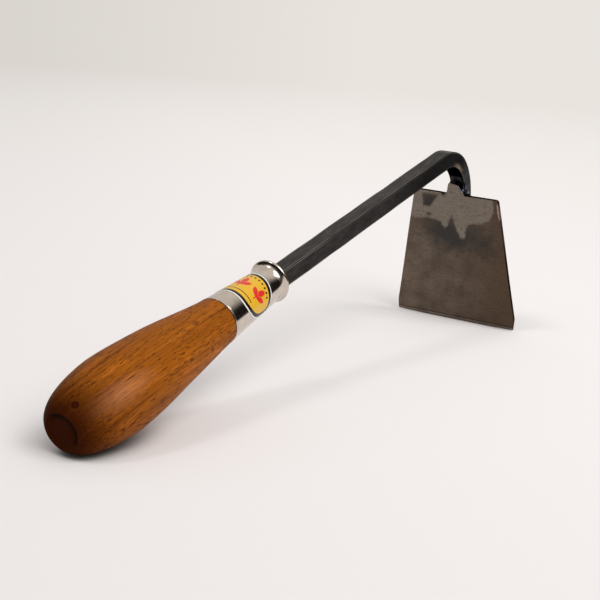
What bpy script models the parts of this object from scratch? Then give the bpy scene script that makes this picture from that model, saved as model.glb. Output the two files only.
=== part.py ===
"""Hand hoe: a turned wooden handle, a plated ferrule, a bent square bar and a sheet blade welded to it.

Every piece is drawn in the tool's own frame, in metres: x runs along the handle's axis from the butt
towards the blade, y is the tool's left, and z points away from the blade. The whole tool is then
tilted until the handle's belly and the blade's edge both touch the ground.
"""

import math

import bmesh
import bpy
import numpy as np
from mathutils import Vector
from mathutils.geometry import interpolate_bezier

CLEARANCE = 0.0003  # left between two pieces that bear on each other

# Handle: its outline is two Bezier curves, butt to belly and belly to neck
GRIP_LENGTH = 0.1162
BUTT_RADIUS = 0.0094
BUTT_ANGLE = math.radians(65.0)  # between the axis and the outline where it leaves the butt's flat
BUTT_PULL = 0.0106  # how far each curve's end keeps its own direction
BELLY_AT = 0.0354
BELLY_RADIUS = 0.0202
BELLY_PULL_BACK = 0.0030
BELLY_PULL_FRONT = 0.0253
NECK_RADIUS = 0.0127
NECK_PULL = 0.0074
TENON_SHORT_OF_THROAT = 0.0020

# Ferrule: a thin cone, wide end on the wood, opening into a rolled rim
CONE_LENGTH = 0.0430
WALL = 0.0012
THROAT_RADIUS = 0.0097
FLARE_LENGTH = 0.0068
FLARE_ANGLE = math.radians(42.0)
RIM_RADIUS = 0.0118
RIM_ROLL_RADIUS = 0.0012

# Label: wraps the cone, its long way round it. Its half-outline is a straight, two corners and an arc
LABEL_FORWARD_OF_MIDDLE = 0.0032
LABEL_HALF_LENGTH = 0.0235
LABEL_HALF_WIDTH = 0.0131
LABEL_STRAIGHT = 0.0095
LABEL_ARC_RADIUS = 0.0530
LABEL_ARC_CORNER = 0.0060
LABEL_THICKNESS = 0.0002

# Bar: square stock, with a tapered tang let into the handle
BAR_SIDE = 0.0100
BAR_ARRIS = 0.0007
BAR_STRAIGHT = 0.1952  # from the ferrule's rim to the bend
BEND_RADIUS = 0.0275  # of the bar's middle
BEND_ANGLE = math.radians(93.25)
BEND_ABOVE_BLADE = 0.0010
BAR_LAP = 0.0220  # down the blade's back
TANG_LENGTH = 0.0850
TANG_ROOT = 0.0080
TANG_TIP = 0.0040

# Blade
BLADE_TOP = 0.0600
BLADE_BOTTOM = 0.0850
BLADE_HEIGHT = 0.0878
BLADE_THICKNESS = 0.0030
BLADE_CORNER = 0.0020
BLADE_SIDE_STRAIGHT = 0.0070  # at the foot, where the sides run parallel
BACK_BEVEL_HEIGHT = 0.0065
FACE_BEVEL_HEIGHT = 0.0020
FACE_BEVEL_DEPTH = 0.0004
EDGE_LAND = 0.0006

# Welds
FRONT_WELD_HALF_WIDTH = 0.0066
FRONT_WELD_HEIGHT = 0.0056
FRONT_WELD_LEAN = 0.0010
BACK_WELD_LEG = 0.0040
BACK_WELD_BULGE = 0.62  # share of the leg that the bead's middle stands out, where 0.5 is flat

# Steps that the curves are drawn with
LATHE_STEPS = 48
BELLY_STEPS = 11
NECK_STEPS = 13
FLARE_STEPS = 5
ROLL_STEPS = 10
ARRIS_STEPS = 2
BEND_STEPS = 16
LABEL_STRAIGHT_STEPS = 4
LABEL_CORNER_STEPS = 4
LABEL_ARC_STEPS = 7
LABEL_RINGS = 7
BLADE_CORNER_STEPS = 4
FRONT_WELD_STEPS = 7
BACK_WELD_CORNER_STEPS = 4
MERGE_DISTANCE = 1e-6
SHARP_ANGLE = math.radians(30.0)
CUTTER_REACH = 0.0020  # how far a cutter runs past what it cuts

# Places worked out from the sizes above
FERRULE_START = GRIP_LENGTH + CLEARANCE
THROAT_AT = FERRULE_START + CONE_LENGTH
RIM_FRONT = THROAT_AT + FLARE_LENGTH
CONE_SLOPE = (THROAT_RADIUS - NECK_RADIUS) / CONE_LENGTH
TENON_END = THROAT_AT - TENON_SHORT_OF_THROAT
SHOULDER_AT = TENON_END + CLEARANCE
BEND_AT = RIM_FRONT + BAR_STRAIGHT


def clear_scene():
    for item in list(bpy.data.objects):
        bpy.data.objects.remove(item, do_unlink=True)


def make_finish(name, colour, roughness, metallic):
    finish = bpy.data.materials.new(name)
    finish.use_nodes = True
    shader = finish.node_tree.nodes["Principled BSDF"]
    shader.inputs["Base Color"].default_value = (*colour, 1.0)
    shader.inputs["Roughness"].default_value = roughness
    shader.inputs["Metallic"].default_value = metallic
    return finish


def add_empty(name, parent=None):
    empty = bpy.data.objects.new(name, None)
    empty.parent = parent
    bpy.context.scene.collection.objects.link(empty)
    return empty


def add_piece(name, bm, parent, finish=None):
    """Turns a bmesh into an object. A piece with no finish is a cutter, and isn't rendered."""
    bmesh.ops.remove_doubles(bm, verts=bm.verts, dist=MERGE_DISTANCE)
    bmesh.ops.recalc_face_normals(bm, faces=bm.faces)
    mesh = bpy.data.meshes.new(name)
    bm.to_mesh(mesh)
    bm.free()
    mesh.shade_smooth()
    mesh.set_sharp_from_angle(angle=SHARP_ANGLE)
    piece = bpy.data.objects.new(name, mesh)
    piece.parent = parent
    bpy.context.scene.collection.objects.link(piece)
    if finish:
        mesh.materials.append(finish)
    else:
        piece.hide_render = True
        piece.display_type = "WIRE"
    return piece


def add_boolean(piece, other, operation):
    modifier = piece.modifiers.new(other.name, "BOOLEAN")
    modifier.operation = operation
    modifier.solver = "EXACT"
    modifier.object = other


def lathe(outline, hollow):
    """Turns an outline of (along, radius) points about the x axis. A hollow one closes on itself."""
    bm = bmesh.new()
    verts = [bm.verts.new((along, 0.0, radius)) for along, radius in outline]
    ends = zip(verts, verts[1:] + verts[:1]) if hollow else zip(verts, verts[1:])
    edges = [bm.edges.new(pair) for pair in ends]
    bmesh.ops.spin(
        bm,
        geom=verts + edges,
        cent=(0.0, 0.0, 0.0),
        axis=(1.0, 0.0, 0.0),
        angle=math.tau,
        steps=LATHE_STEPS,
        use_merge=True,
    )
    return bm


def loft(rings):
    """A skin over rings of equally many points, capped at both ends."""
    bm = bmesh.new()
    loops = [[bm.verts.new(point) for point in ring] for ring in rings]
    for near, far in zip(loops, loops[1:]):
        for i in range(len(near)):
            bm.faces.new((near[i - 1], near[i], far[i], far[i - 1]))
    bm.faces.new(loops[0])
    bm.faces.new(loops[-1])
    return bm


def arc(centre, radius, start, end, steps):
    """Points of a circle's arc from one angle to another, both included."""
    angles = np.linspace(start, end, steps + 1)
    return [(centre[0] + radius * math.cos(a), centre[1] + radius * math.sin(a)) for a in angles]


def bezier(start, start_handle, end_handle, end, steps):
    """Points of a cubic curve in a plane, both ends included."""
    points = interpolate_bezier(
        *(Vector((*point, 0.0)) for point in (start, start_handle, end_handle, end)), steps + 1
    )
    return [(point.x, point.y) for point in points]


def cone_radius(along):
    """Outer radius of the ferrule's cone."""
    return NECK_RADIUS + CONE_SLOPE * (along - FERRULE_START)


def handle_outline():
    butt = (0.0, BUTT_RADIUS)
    butt_handle = (BUTT_PULL * math.cos(BUTT_ANGLE), BUTT_RADIUS + BUTT_PULL * math.sin(BUTT_ANGLE))
    belly = (BELLY_AT, BELLY_RADIUS)
    neck = (GRIP_LENGTH, NECK_RADIUS)
    back = bezier(butt, butt_handle, (BELLY_AT - BELLY_PULL_BACK, BELLY_RADIUS), belly, BELLY_STEPS)
    front = bezier(
        belly,
        (BELLY_AT + BELLY_PULL_FRONT, BELLY_RADIUS),
        (GRIP_LENGTH - NECK_PULL, NECK_RADIUS),
        neck,
        NECK_STEPS,
    )
    bore = WALL + CLEARANCE
    tenon = [(at, cone_radius(at) - bore) for at in (GRIP_LENGTH, TENON_END)]
    return [(0.0, 0.0)] + back + front[1:] + tenon + [(TENON_END, 0.0)]


def ferrule_outline():
    roll_centre = (RIM_FRONT - RIM_ROLL_RADIUS, RIM_RADIUS - RIM_ROLL_RADIUS)
    square = math.radians(90.0)
    roll = arc(roll_centre, RIM_ROLL_RADIUS, square + FLARE_ANGLE, -square, ROLL_STEPS)
    throat = (THROAT_AT, THROAT_RADIUS)
    pull = (roll[0][0] - THROAT_AT) / 2
    flare = bezier(
        throat,
        (throat[0] + pull, throat[1] + pull * CONE_SLOPE),
        (roll[0][0] - pull * math.cos(FLARE_ANGLE), roll[0][1] - pull * math.sin(FLARE_ANGLE)),
        roll[0],
        FLARE_STEPS,
    )
    inside = [(THROAT_AT, THROAT_RADIUS - WALL), (FERRULE_START, NECK_RADIUS - WALL)]
    return [(FERRULE_START, NECK_RADIUS)] + flare + roll[1:] + inside


def label_outline():
    """The flat label: first number round the cone, second along it, from the middle of the label."""
    top = LABEL_HALF_WIDTH
    arc_centre = (0.0, top - LABEL_ARC_RADIUS)
    small = LABEL_ARC_CORNER
    reach = LABEL_HALF_LENGTH - small
    rise = math.sqrt((LABEL_ARC_RADIUS - small) ** 2 - reach**2)
    small_centre = (reach, arc_centre[1] + rise)
    meet = math.atan2(rise, reach)
    large = LABEL_HALF_LENGTH - LABEL_STRAIGHT
    large_centre = (LABEL_STRAIGHT, large - top)
    square = math.radians(90.0)
    half = [(across, -top) for across in np.linspace(0.0, LABEL_STRAIGHT, LABEL_STRAIGHT_STEPS + 1)]
    half += arc(large_centre, large, -square, 0.0, 2 * LABEL_CORNER_STEPS)[1:]
    half += arc(small_centre, small, 0.0, meet, LABEL_CORNER_STEPS)
    half += arc(arc_centre, LABEL_ARC_RADIUS, meet, square, LABEL_ARC_STEPS)[1:]
    return half + [(-across, along) for across, along in reversed(half[1:-1])]


def label_side(lift):
    """Rings of points from the label's middle to its outline, wrapped over the cone at a height."""
    middle = FERRULE_START + CONE_LENGTH / 2 + LABEL_FORWARD_OF_MIDDLE
    outline = np.array(label_outline())
    rings = []
    for share in np.linspace(1.0, 0.0, LABEL_RINGS + 1)[:-1]:
        across, along = (outline * share).T
        at = middle + along + CONE_SLOPE * across**2 / (2 * cone_radius(middle))
        radius = cone_radius(at) + lift
        turn = across / cone_radius(at)
        rings.append(np.column_stack((at, radius * np.sin(turn), radius * np.cos(turn))))
    crown = (middle, 0.0, cone_radius(middle) + lift)
    return rings, crown


def bar_section(side):
    """Square with rounded arrises, as (across, up) pairs."""
    inset = side / 2 - BAR_ARRIS
    square = math.radians(90.0)
    corners = enumerate(((inset, inset), (-inset, inset), (-inset, -inset), (inset, -inset)))
    section = []
    for turn, centre in corners:
        section += arc(centre, BAR_ARRIS, square * turn, square * (turn + 1), ARRIS_STEPS)
    return section


def bar_ring(side, along, turn=0.0, beyond=0.0):
    """The bar's section at a place on its middle line, which turns about the bend's centre."""
    centre = Vector((along, 0.0, -BEND_RADIUS))
    outward = Vector((math.sin(turn), 0.0, math.cos(turn)))
    onward = Vector((math.cos(turn), 0.0, -math.sin(turn)))
    middle = centre + BEND_RADIUS * outward + beyond * onward
    return [middle + up * outward + Vector((0.0, across, 0.0)) for across, up in bar_section(side)]


def tang_rings(margin):
    """The tang's tip and root, or with a margin those of the hole for it."""
    tip = bar_ring(TANG_TIP + 2 * margin, SHOULDER_AT - TANG_LENGTH - margin)
    return [tip, bar_ring(TANG_ROOT + 2 * margin, SHOULDER_AT)]


def blade_outline():
    """The blade seen square on: (across, up) from the middle of its top edge."""
    corner = BLADE_CORNER
    foot = BLADE_SIDE_STRAIGHT - BLADE_HEIGHT
    lean = math.atan2((BLADE_BOTTOM - BLADE_TOP) / 2, -foot)
    square = math.radians(90.0)
    centre = (BLADE_TOP / 2 - corner * math.tan((square - lean) / 2), -corner)
    right = arc(centre, corner, square, lean, BLADE_CORNER_STEPS)
    right += [(BLADE_BOTTOM / 2, foot), (BLADE_BOTTOM / 2, -BLADE_HEIGHT)]
    return right + [(-across, up) for across, up in reversed(right)]


def blade_section():
    """The blade seen from its side: (deep, up) from its inner face's top edge."""
    deep = BLADE_THICKNESS
    return [
        (0.0, 0.0),
        (deep, 0.0),
        (deep, BACK_BEVEL_HEIGHT - BLADE_HEIGHT),
        (FACE_BEVEL_DEPTH + EDGE_LAND, -BLADE_HEIGHT),
        (FACE_BEVEL_DEPTH, -BLADE_HEIGHT),
        (0.0, FACE_BEVEL_HEIGHT - BLADE_HEIGHT),
    ]


def front_weld_rings():
    """Level slices of the weld on the blade's top edge. Its back follows the inside of the bend."""
    inside = BEND_RADIUS - BAR_SIDE / 2 - CLEARANCE
    bend_centre = BLADE_THICKNESS - inside
    rings = []
    for share in np.linspace(0.0, 0.98, FRONT_WELD_STEPS + 1):
        up = CLEARANCE + share * (FRONT_WELD_HEIGHT - CLEARANCE)
        wide = FRONT_WELD_HALF_WIDTH * math.sqrt(1 - share**3)
        front = FRONT_WELD_LEAN * share**2
        over = max(up - BEND_ABOVE_BLADE, 0.0)
        back = bend_centre + math.sqrt(inside**2 - over**2)
        rings.append([(front, -wide, up), (back, -wide, up), (back, wide, up), (front, wide, up)])
    return rings


def back_weld_rings():
    """Slices of the fillet that runs down one side of the bar, round its end and up the other."""
    half = BAR_SIDE / 2
    square = math.radians(90.0)
    quarter = np.linspace(0.0, square, BACK_WELD_CORNER_STEPS + 1)
    path = [((half, 0.0), 0.0)]
    path += [((half, -BAR_LAP), -angle) for angle in quarter]
    path += [((-half, -BAR_LAP), -square - angle) for angle in quarter]
    path += [((-half, 0.0), -2 * square)]
    bulge = BACK_WELD_BULGE * BACK_WELD_LEG
    profile = ((0.0, 0.0), (BACK_WELD_LEG, 0.0), (bulge, bulge), (0.0, BACK_WELD_LEG))
    floor = BLADE_THICKNESS + CLEARANCE
    rings = []
    for (across, up), angle in path:
        out = (math.cos(angle), math.sin(angle))
        rings.append(
            [
                (floor + high, across + (CLEARANCE + away) * out[0], up + (CLEARANCE + away) * out[1])
                for away, high in profile
            ]
        )
    return rings


def build_handle(tool):
    wood = make_finish("oiled_hardwood", (0.36, 0.125, 0.035), 0.45, 0.0)
    handle = add_piece("handle", lathe(handle_outline(), hollow=False), tool, wood)
    mouth = bar_ring(TANG_ROOT + 2 * CLEARANCE, TENON_END + CUTTER_REACH)
    hole = add_piece("tang_hole", loft([*tang_rings(CLEARANCE), mouth]), tool)
    add_boolean(handle, hole, "DIFFERENCE")
    return handle


def build_ferrule(tool):
    nickel = make_finish("nickel_plate", (0.66, 0.62, 0.56), 0.14, 1.0)
    return add_piece("ferrule", lathe(ferrule_outline(), hollow=True), tool, nickel)


def build_label(tool):
    """Two wrapped sides, each a fan of rings round its crown, joined along the outline."""
    paper = make_finish("printed_label", (0.83, 0.60, 0.07), 0.35, 0.0)
    under, under_crown = label_side(CLEARANCE)
    over, over_crown = label_side(CLEARANCE + LABEL_THICKNESS)
    bm = loft(under[::-1] + over)
    bm.faces.ensure_lookup_table()
    for cap, crown in zip(bm.faces[-2:], (under_crown, over_crown)):
        bmesh.ops.poke(bm, faces=[cap])["verts"][0].co = crown
    return add_piece("label", bm, tool, paper)


def build_shank(tool):
    scale = make_finish("forge_black_steel", (0.035, 0.036, 0.035), 0.42, 0.85)
    rings = [*tang_rings(0.0), bar_ring(BAR_SIDE, SHOULDER_AT)]
    rings += [bar_ring(BAR_SIDE, BEND_AT, turn) for turn in np.linspace(0.0, BEND_ANGLE, BEND_STEPS + 1)]
    rings.append(bar_ring(BAR_SIDE, BEND_AT, BEND_ANGLE, BEND_ABOVE_BLADE + BAR_LAP))
    return add_piece("shank", loft(rings), tool, scale)


def place_blade_seat(tool):
    """An empty at the middle of the blade's top edge, on its inner face, turned as the bar's end is."""
    seat = add_empty("blade_seat", tool)
    outward = Vector((math.sin(BEND_ANGLE), 0.0, math.cos(BEND_ANGLE)))
    onward = Vector((math.cos(BEND_ANGLE), 0.0, -math.sin(BEND_ANGLE)))
    inward = BEND_RADIUS - BAR_SIDE / 2 - CLEARANCE - BLADE_THICKNESS
    centre = Vector((BEND_AT, 0.0, -BEND_RADIUS))
    seat.location = centre + inward * outward + BEND_ABOVE_BLADE * onward
    seat.rotation_euler = (0.0, BEND_ANGLE - math.radians(90.0), 0.0)
    return seat


def build_blade(seat):
    """A bar of the blade's section, cut to its outline."""
    steel = make_finish("ground_steel", (0.13, 0.105, 0.088), 0.40, 0.9)
    wide = BLADE_BOTTOM / 2 + CUTTER_REACH
    sides = [[(deep, across, up) for deep, up in blade_section()] for across in (-wide, wide)]
    blade = add_piece("blade", loft(sides), seat, steel)
    depths = (-CUTTER_REACH, BLADE_THICKNESS + CUTTER_REACH)
    outline = [[(deep, across, up) for across, up in blade_outline()] for deep in depths]
    add_boolean(blade, add_piece("blade_cutter", loft(outline), seat), "INTERSECT")
    return blade


def build_welds(seat):
    weld = make_finish("weld_steel", (0.11, 0.10, 0.092), 0.38, 0.9)
    front = add_piece("weld_front", loft(front_weld_rings()), seat, weld)
    back = add_piece("weld_back", loft(back_weld_rings()), seat, weld)
    return [front, back]


def points_of(pieces):
    """Where the pieces' points are in the world, with their modifiers applied."""
    bpy.context.view_layer.update()
    graph = bpy.context.evaluated_depsgraph_get()
    clouds = []
    for piece in pieces:
        solid = piece.evaluated_get(graph)
        mesh = solid.to_mesh()
        flat = np.empty(3 * len(mesh.vertices), np.float32)
        mesh.vertices.foreach_get("co", flat)
        matrix = np.array(solid.matrix_world)
        clouds.append(flat.reshape(-1, 3) @ matrix[:3, :3].T + matrix[:3, 3])
        solid.to_mesh_clear()
    return np.vstack(clouds)


def stand_on_ground(tool, handle, blade, pieces):
    """Tilts the tool on to the line that touches handle and blade from below, and centres its box."""
    rear = points_of([handle])
    fore = points_of([blade])
    slopes = (fore[:, None, 2] - rear[None, :, 2]) / (fore[:, None, 0] - rear[None, :, 0])
    touching = float(slopes.max(axis=1).min())
    tool.rotation_euler = (0.0, math.atan(touching), 0.0)
    cloud = points_of(pieces)
    low = cloud.min(axis=0)
    high = cloud.max(axis=0)
    tool.location = (-(low[0] + high[0]) / 2, -(low[1] + high[1]) / 2, -low[2])


def main():
    clear_scene()
    tool = add_empty("tool")
    handle = build_handle(tool)
    ferrule = build_ferrule(tool)
    label = build_label(tool)
    shank = build_shank(tool)
    seat = place_blade_seat(tool)
    blade = build_blade(seat)
    welds = build_welds(seat)
    stand_on_ground(tool, handle, blade, [handle, ferrule, label, shank, blade, *welds])


main()
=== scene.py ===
"""The looks of a hand hoe: fine surfaces and finishes for its handle, ferrule, label, bar, blade and welds.

Sizes are in metres. The tool's frame has x along the handle from its butt, y to the tool's left and z
away from the blade. The blade's frame has its origin at the middle of the top edge, on the inner face,
with x going into the steel, y to the left and z up the face.
"""

import math

import bpy
import numpy as np
from bpy.props import FloatProperty, FloatVectorProperty, PointerProperty, StringProperty
from bpy.types import NodeSocket, Operator, Panel, PropertyGroup
from mathutils import Matrix, Vector


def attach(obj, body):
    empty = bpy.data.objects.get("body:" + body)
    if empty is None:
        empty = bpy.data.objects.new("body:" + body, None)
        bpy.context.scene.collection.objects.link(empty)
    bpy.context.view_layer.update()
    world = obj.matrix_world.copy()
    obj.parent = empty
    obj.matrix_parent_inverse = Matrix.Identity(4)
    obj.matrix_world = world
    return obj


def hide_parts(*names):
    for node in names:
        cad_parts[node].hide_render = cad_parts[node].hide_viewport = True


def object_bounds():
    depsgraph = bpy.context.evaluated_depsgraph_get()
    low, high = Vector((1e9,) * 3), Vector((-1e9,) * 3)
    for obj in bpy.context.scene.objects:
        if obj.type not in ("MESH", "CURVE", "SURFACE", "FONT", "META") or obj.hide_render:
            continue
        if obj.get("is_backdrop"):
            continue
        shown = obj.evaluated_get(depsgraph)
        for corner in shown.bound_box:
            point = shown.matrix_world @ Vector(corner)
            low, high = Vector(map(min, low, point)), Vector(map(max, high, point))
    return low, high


bl_info = {
    "name": "Hand hoe",
    "version": (1, 0, 0),
    "blender": (4, 5, 0),
    "location": "3D View > Sidebar > Hand hoe",
    "description": "Makes the fine surfaces, the finishes and the studio of a hand hoe",
    "category": "Add Mesh",
}

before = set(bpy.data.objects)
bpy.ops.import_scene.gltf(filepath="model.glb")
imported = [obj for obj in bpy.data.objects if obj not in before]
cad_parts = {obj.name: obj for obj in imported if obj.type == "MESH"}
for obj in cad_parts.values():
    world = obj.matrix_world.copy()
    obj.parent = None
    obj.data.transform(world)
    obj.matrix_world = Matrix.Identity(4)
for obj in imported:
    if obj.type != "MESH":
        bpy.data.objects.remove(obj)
CAD_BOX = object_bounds()

MM = 0.001
SQUARE = math.radians(90.0)
WHITE = (1.0, 1.0, 1.0, 1.0)


def node_points(node):
    """The different points of a CAD node, one row each."""
    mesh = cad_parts[node].data
    flat = np.empty(3 * len(mesh.vertices), np.float32)
    mesh.vertices.foreach_get("co", flat)
    return np.unique(flat.reshape(-1, 3).round(7), axis=0).astype(float)


def find_tool_frame():
    """The tool's frame as a matrix. A turned ferrule spreads most along its axis, which lies in y = 0, and
    the butt's flat is where the handle reaches furthest back along it."""
    ferrule = node_points("ferrule")
    along = np.linalg.svd(ferrule - ferrule.mean(axis=0), full_matrices=False)[2][0]
    tilt = math.atan(along[2] / along[0])
    turn = Matrix.Rotation(-tilt, 4, "Y")
    handle = node_points("handle")
    reach = handle @ np.array(turn.to_3x3())[:, 0]
    flat = handle[reach < reach.min() + 0.01 * MM]
    butt = flat.min(axis=0) / 2 + flat.max(axis=0) / 2
    return Matrix.Translation(Vector(butt)) @ turn


TOOL = find_tool_frame()


def length(name, default, description):
    """A size in metres that a user would change."""
    return FloatProperty(name=name, description=description, default=default, unit="LENGTH", precision=5)


def angle(name, degrees, description):
    """An angle that a user would change, given here in degrees."""
    return FloatProperty(
        name=name, description=description, default=math.radians(degrees), subtype="ANGLE", precision=4
    )


def colour(name, default, description):
    """A colour as an sRGB hex value, such as #A0522D."""
    return StringProperty(name=name, description=description, default=default, maxlen=7)


class HandleLook(PropertyGroup):
    grip_length: length("Grip length", 0.1162, "From the butt's rim to the ferrule")
    butt_radius: length("Butt radius", 0.0094, "Radius of the butt's end-grain disc")
    butt_angle: angle("Butt angle", 65.0, "Between the axis and the outline where it leaves the butt")
    butt_pull: length("Butt pull", 0.0106, "How far the outline keeps the butt's direction")
    dish: length("Dish", 0.0009, "How deep the disc is hollowed")
    lip: length("Lip", 0.0006, "How much of the disc's rim is rounded over")
    belly_at: length("Belly at", 0.0354, "Where the grip is widest")
    belly_radius: length("Belly radius", 0.02018, "Radius at the belly")
    belly_back: length("Belly pull, back", 0.0030, "How far the outline stays level behind the belly")
    belly_front: length("Belly pull, front", 0.0253, "How far the outline stays level before the belly")
    neck_radius: length("Neck radius", 0.0127, "Radius at the ferrule")
    neck_pull: length("Neck pull", 0.0074, "How far the outline runs level at the ferrule")
    shoulder: length("Shoulder", 0.0005, "Rounding of the wood's edge at the ferrule")
    heartwood: colour("Heartwood", "#93500B", "Main colour of the oiled wood")
    late_wood: colour("Late wood", "#743B09", "Dark streaks along the grain")
    early_wood: colour("Early wood", "#AE621B", "Light streaks along the grain")
    pore: colour("Pores", "#431C06", "Open pores, filled with oil")
    # Pale wear on the belly, which also serves as a painted sheen
    wear_and_sheen: colour("Worn wood", "#C3825A", "Where the palm has rubbed the oil off")
    end_grain: colour("End grain", "#2B0C03", "Butt disc, where the oil soaks in")


class FerruleLook(PropertyGroup):
    cone_length: length("Cone length", 0.0430, "From the wood to the throat")
    wall: length("Wall", 0.0012, "Thickness of the sleeve")
    throat_radius: length("Throat radius", 0.0097, "Outer radius where the flare starts")
    flare_length: length("Flare length", 0.0068, "From the throat to the front of the rim")
    flare_angle: angle("Flare angle", 50.0, "Between the axis and the flare where it meets the roll")
    rim_radius: length("Rim radius", 0.0118, "Outer radius of the rolled rim")
    roll_radius: length("Roll radius", 0.0010, "Radius of the roll itself")
    rim_rise: length("Rim rise", 0.0012, "How far the rim's middle is above the axis")
    bead_width: length("Bead width", 0.00040, "Width of the fine bead at the wood")
    bead_height: length("Bead height", 0.00005, "How proud the fine bead stands")
    nickel: colour("Nickel", "#D2C7BC", "Warm white of nickel plate")


class LabelLook(PropertyGroup):
    forward: length("Forward of middle", 0.0032, "From the cone's middle to the label's, towards the rim")
    half_length: length("Half length", 0.0235, "Half its size round the cone")
    half_width: length("Half width", 0.0131, "Half its size along the cone")
    straight: length("Straight", 0.0095, "Half the straight side at the wood")
    arc_radius: length("Arc radius", 0.0530, "Of the wide arc at the rim")
    arc_corner: length("Arc corner", 0.0060, "Rounding between the arc and the ends")
    thickness: length("Thickness", 0.00018, "Of the sticker")
    edge_width: length("Edge width", 0.00068, "White edge left by the die cut")
    border_width: length("Border width", 0.0020, "Dark border inside the edge")
    paper: colour("Paper", "#F1EEEA", "White edge")
    border: colour("Border ink", "#17110E", "Border, rule and dots")
    field: colour("Field ink", "#DDAC2C", "Yellow field")
    sprig: colour("Sprig ink", "#D3302C", "Red sprigs")


class BarLook(PropertyGroup):
    side: length("Side", 0.0100, "Of the square bar")
    arris: length("Arris", 0.0006, "Mean radius of the bar's long edges")
    straight: length("Straight", 0.1952, "From the ferrule's rim to the bend")
    bend_radius: length("Bend radius", 0.0275, "Of the bar's middle")
    bend_angle: angle("Bend angle", 93.25, "That the bar turns through")
    above_blade: length("Above blade", 0.0010, "From the end of the bend to the blade's top edge")
    lap: length("Lap", 0.0220, "Down the blade's back")
    tang_length: length("Tang length", 0.0850, "Inside the handle")
    tang_root: length("Tang root", 0.0080, "Side of the tang at the shoulder")
    tang_tip: length("Tang tip", 0.0040, "Side of the tang at its tip")
    scale: colour("Forge scale", "#33302D", "Grey of the scale left by hot rolling")
    # Soot, also used as painted shade that keeps the sides darker than the top
    soot_and_side_shade: colour("Soot", "#171415", "Left by the weld's heat up to the bend")
    scale_dark: colour("Dark scale", "#24211E", "Thicker patches of scale")
    # Worn steel, also used as a painted highlight beside the arrises
    wear_and_sheen: colour("Worn steel", "#97928B", "Steel rubbed bare beside the arrises")
    heat_mark: colour("Heat mark", "#A39280", "Tan mark that the torch left inside the bend")


class BladeLook(PropertyGroup):
    top: length("Top", 0.0594, "Width at the top edge")
    bottom: length("Bottom", 0.0848, "Width at the cutting edge")
    height: length("Height", 0.0878, "From the top edge to the cutting edge")
    thickness: length("Thickness", 0.0030, "Of the sheet")
    corner: length("Corner", 0.0020, "Radius of the top corners")
    side_straight: length("Side straight", 0.0070, "Foot of the sides that runs parallel")
    back_bevel: length("Back bevel", 0.0065, "Height of the bevel on the back")
    face_bevel: length("Face bevel", 0.0020, "Height of the bevel on the face")
    face_bevel_depth: length("Face bevel depth", 0.0004, "How far the face's bevel goes in")
    edge_land: length("Edge land", 0.0006, "Thickness left at the cutting edge")
    edge_break: length("Edge break", 0.00028, "Rounding of the sheet's edges")
    foot_rise: length("Foot rise", 0.0006, "How far the cutting edge curves up at its corners")
    rolled: colour("Rolled steel", "#5F5349", "Brown-grey skin of the rolled sheet")
    tint: colour("Heat tint", "#393735", "Cloud left by the weld's heat")
    bare: colour("Bare steel", "#B49E90", "Nick in the right edge")
    ground: colour("Ground steel", "#7C7268", "Grey of the steel where it was ground")


class WeldLook(PropertyGroup):
    tongue_height: length("Tongue height", 0.0073, "Of the ground weld above the blade's top edge")
    tongue_left: length("Tongue left", 0.0066, "From the middle to its left foot")
    tongue_right: length("Tongue right", 0.0061, "From the middle to its right foot")
    puddle_height: length("Puddle height", 0.0125, "How far the weld flowed up the inside of the bend")
    bead_leg: length("Bead leg", 0.0040, "Leg of the fillet on the back")
    bead_bulge: FloatProperty(
        name="Bead bulge", description="Share of the leg that the fillet stands out", default=0.62
    )
    ripple: length("Ripple", 0.0013, "From one ripple of the bead to the next")
    bead: colour("Weld bead", "#101218", "Blue-black skin of an unground weld")
    blue: colour("Blued bead", "#2A3A50", "Where the skin of the weld ran blue")
    # Painted highlight on the blued skin
    painted_glint: colour("Glint", "#A9AFCC", "Brightest part of the blued skin")


class StudioLook(PropertyGroup):
    camera_at: FloatVectorProperty(
        name="Camera at",
        description="Place of the camera",
        default=(-0.64175, -0.38311, 0.20877),
        subtype="TRANSLATION",
        unit="LENGTH",
    )
    heading: angle("Heading", 31.03, "From the x axis to where the camera looks")
    dip: angle("Dip", 12.546, "How far the camera looks down")
    roll: angle("Roll", 4.471, "How far the camera leans to its right")
    lens: FloatProperty(name="Lens", description="Focal length in millimetres", default=84.16)
    paper: colour("Paper floor", "#F0EBE9", "Pale floor")
    air: colour("Air", "#B9B9B9", "Light of the pale room")
    far_paper: colour("Far paper", "#E9E4DE", "Pale background that the camera and shiny surfaces see")
    cloth: colour("Dark cloth", "#040404", "The room's unlit side, which shiny surfaces see")
    grey_cloth: colour("Grey cloth", "#5E5850", "The paler middle of that side")
    fade_from: length("Fade from", 0.15, "Distance at which the floor starts to fade into the background")
    fade_to: length("Fade to", 2.4, "Distance at which only the background is left")
    left_lamp: FloatProperty(name="Left lamp", description="Share of the floor's light", default=0.10)
    front_lamp: FloatProperty(name="Front lamp", description="Share of the floor's light", default=0.38)
    right_lamp: FloatProperty(name="Right lamp", description="Share of the floor's light", default=0.12)


class HoeLook(PropertyGroup):
    handle: PointerProperty(type=HandleLook)
    ferrule: PointerProperty(type=FerruleLook)
    label: PointerProperty(type=LabelLook)
    bar: PointerProperty(type=BarLook)
    blade: PointerProperty(type=BladeLook)
    weld: PointerProperty(type=WeldLook)
    studio: PointerProperty(type=StudioLook)


FLOOR_REACH = 12.0  # from the tool to each side of the floor, and to the lamps and the cloths
LAMP_REACH = 2.0
CLOTH_REACH = 1.7
FAR_RIGHT = (0.77, -0.70, 0.0)  # a direction over the floor, for the camera
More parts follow.
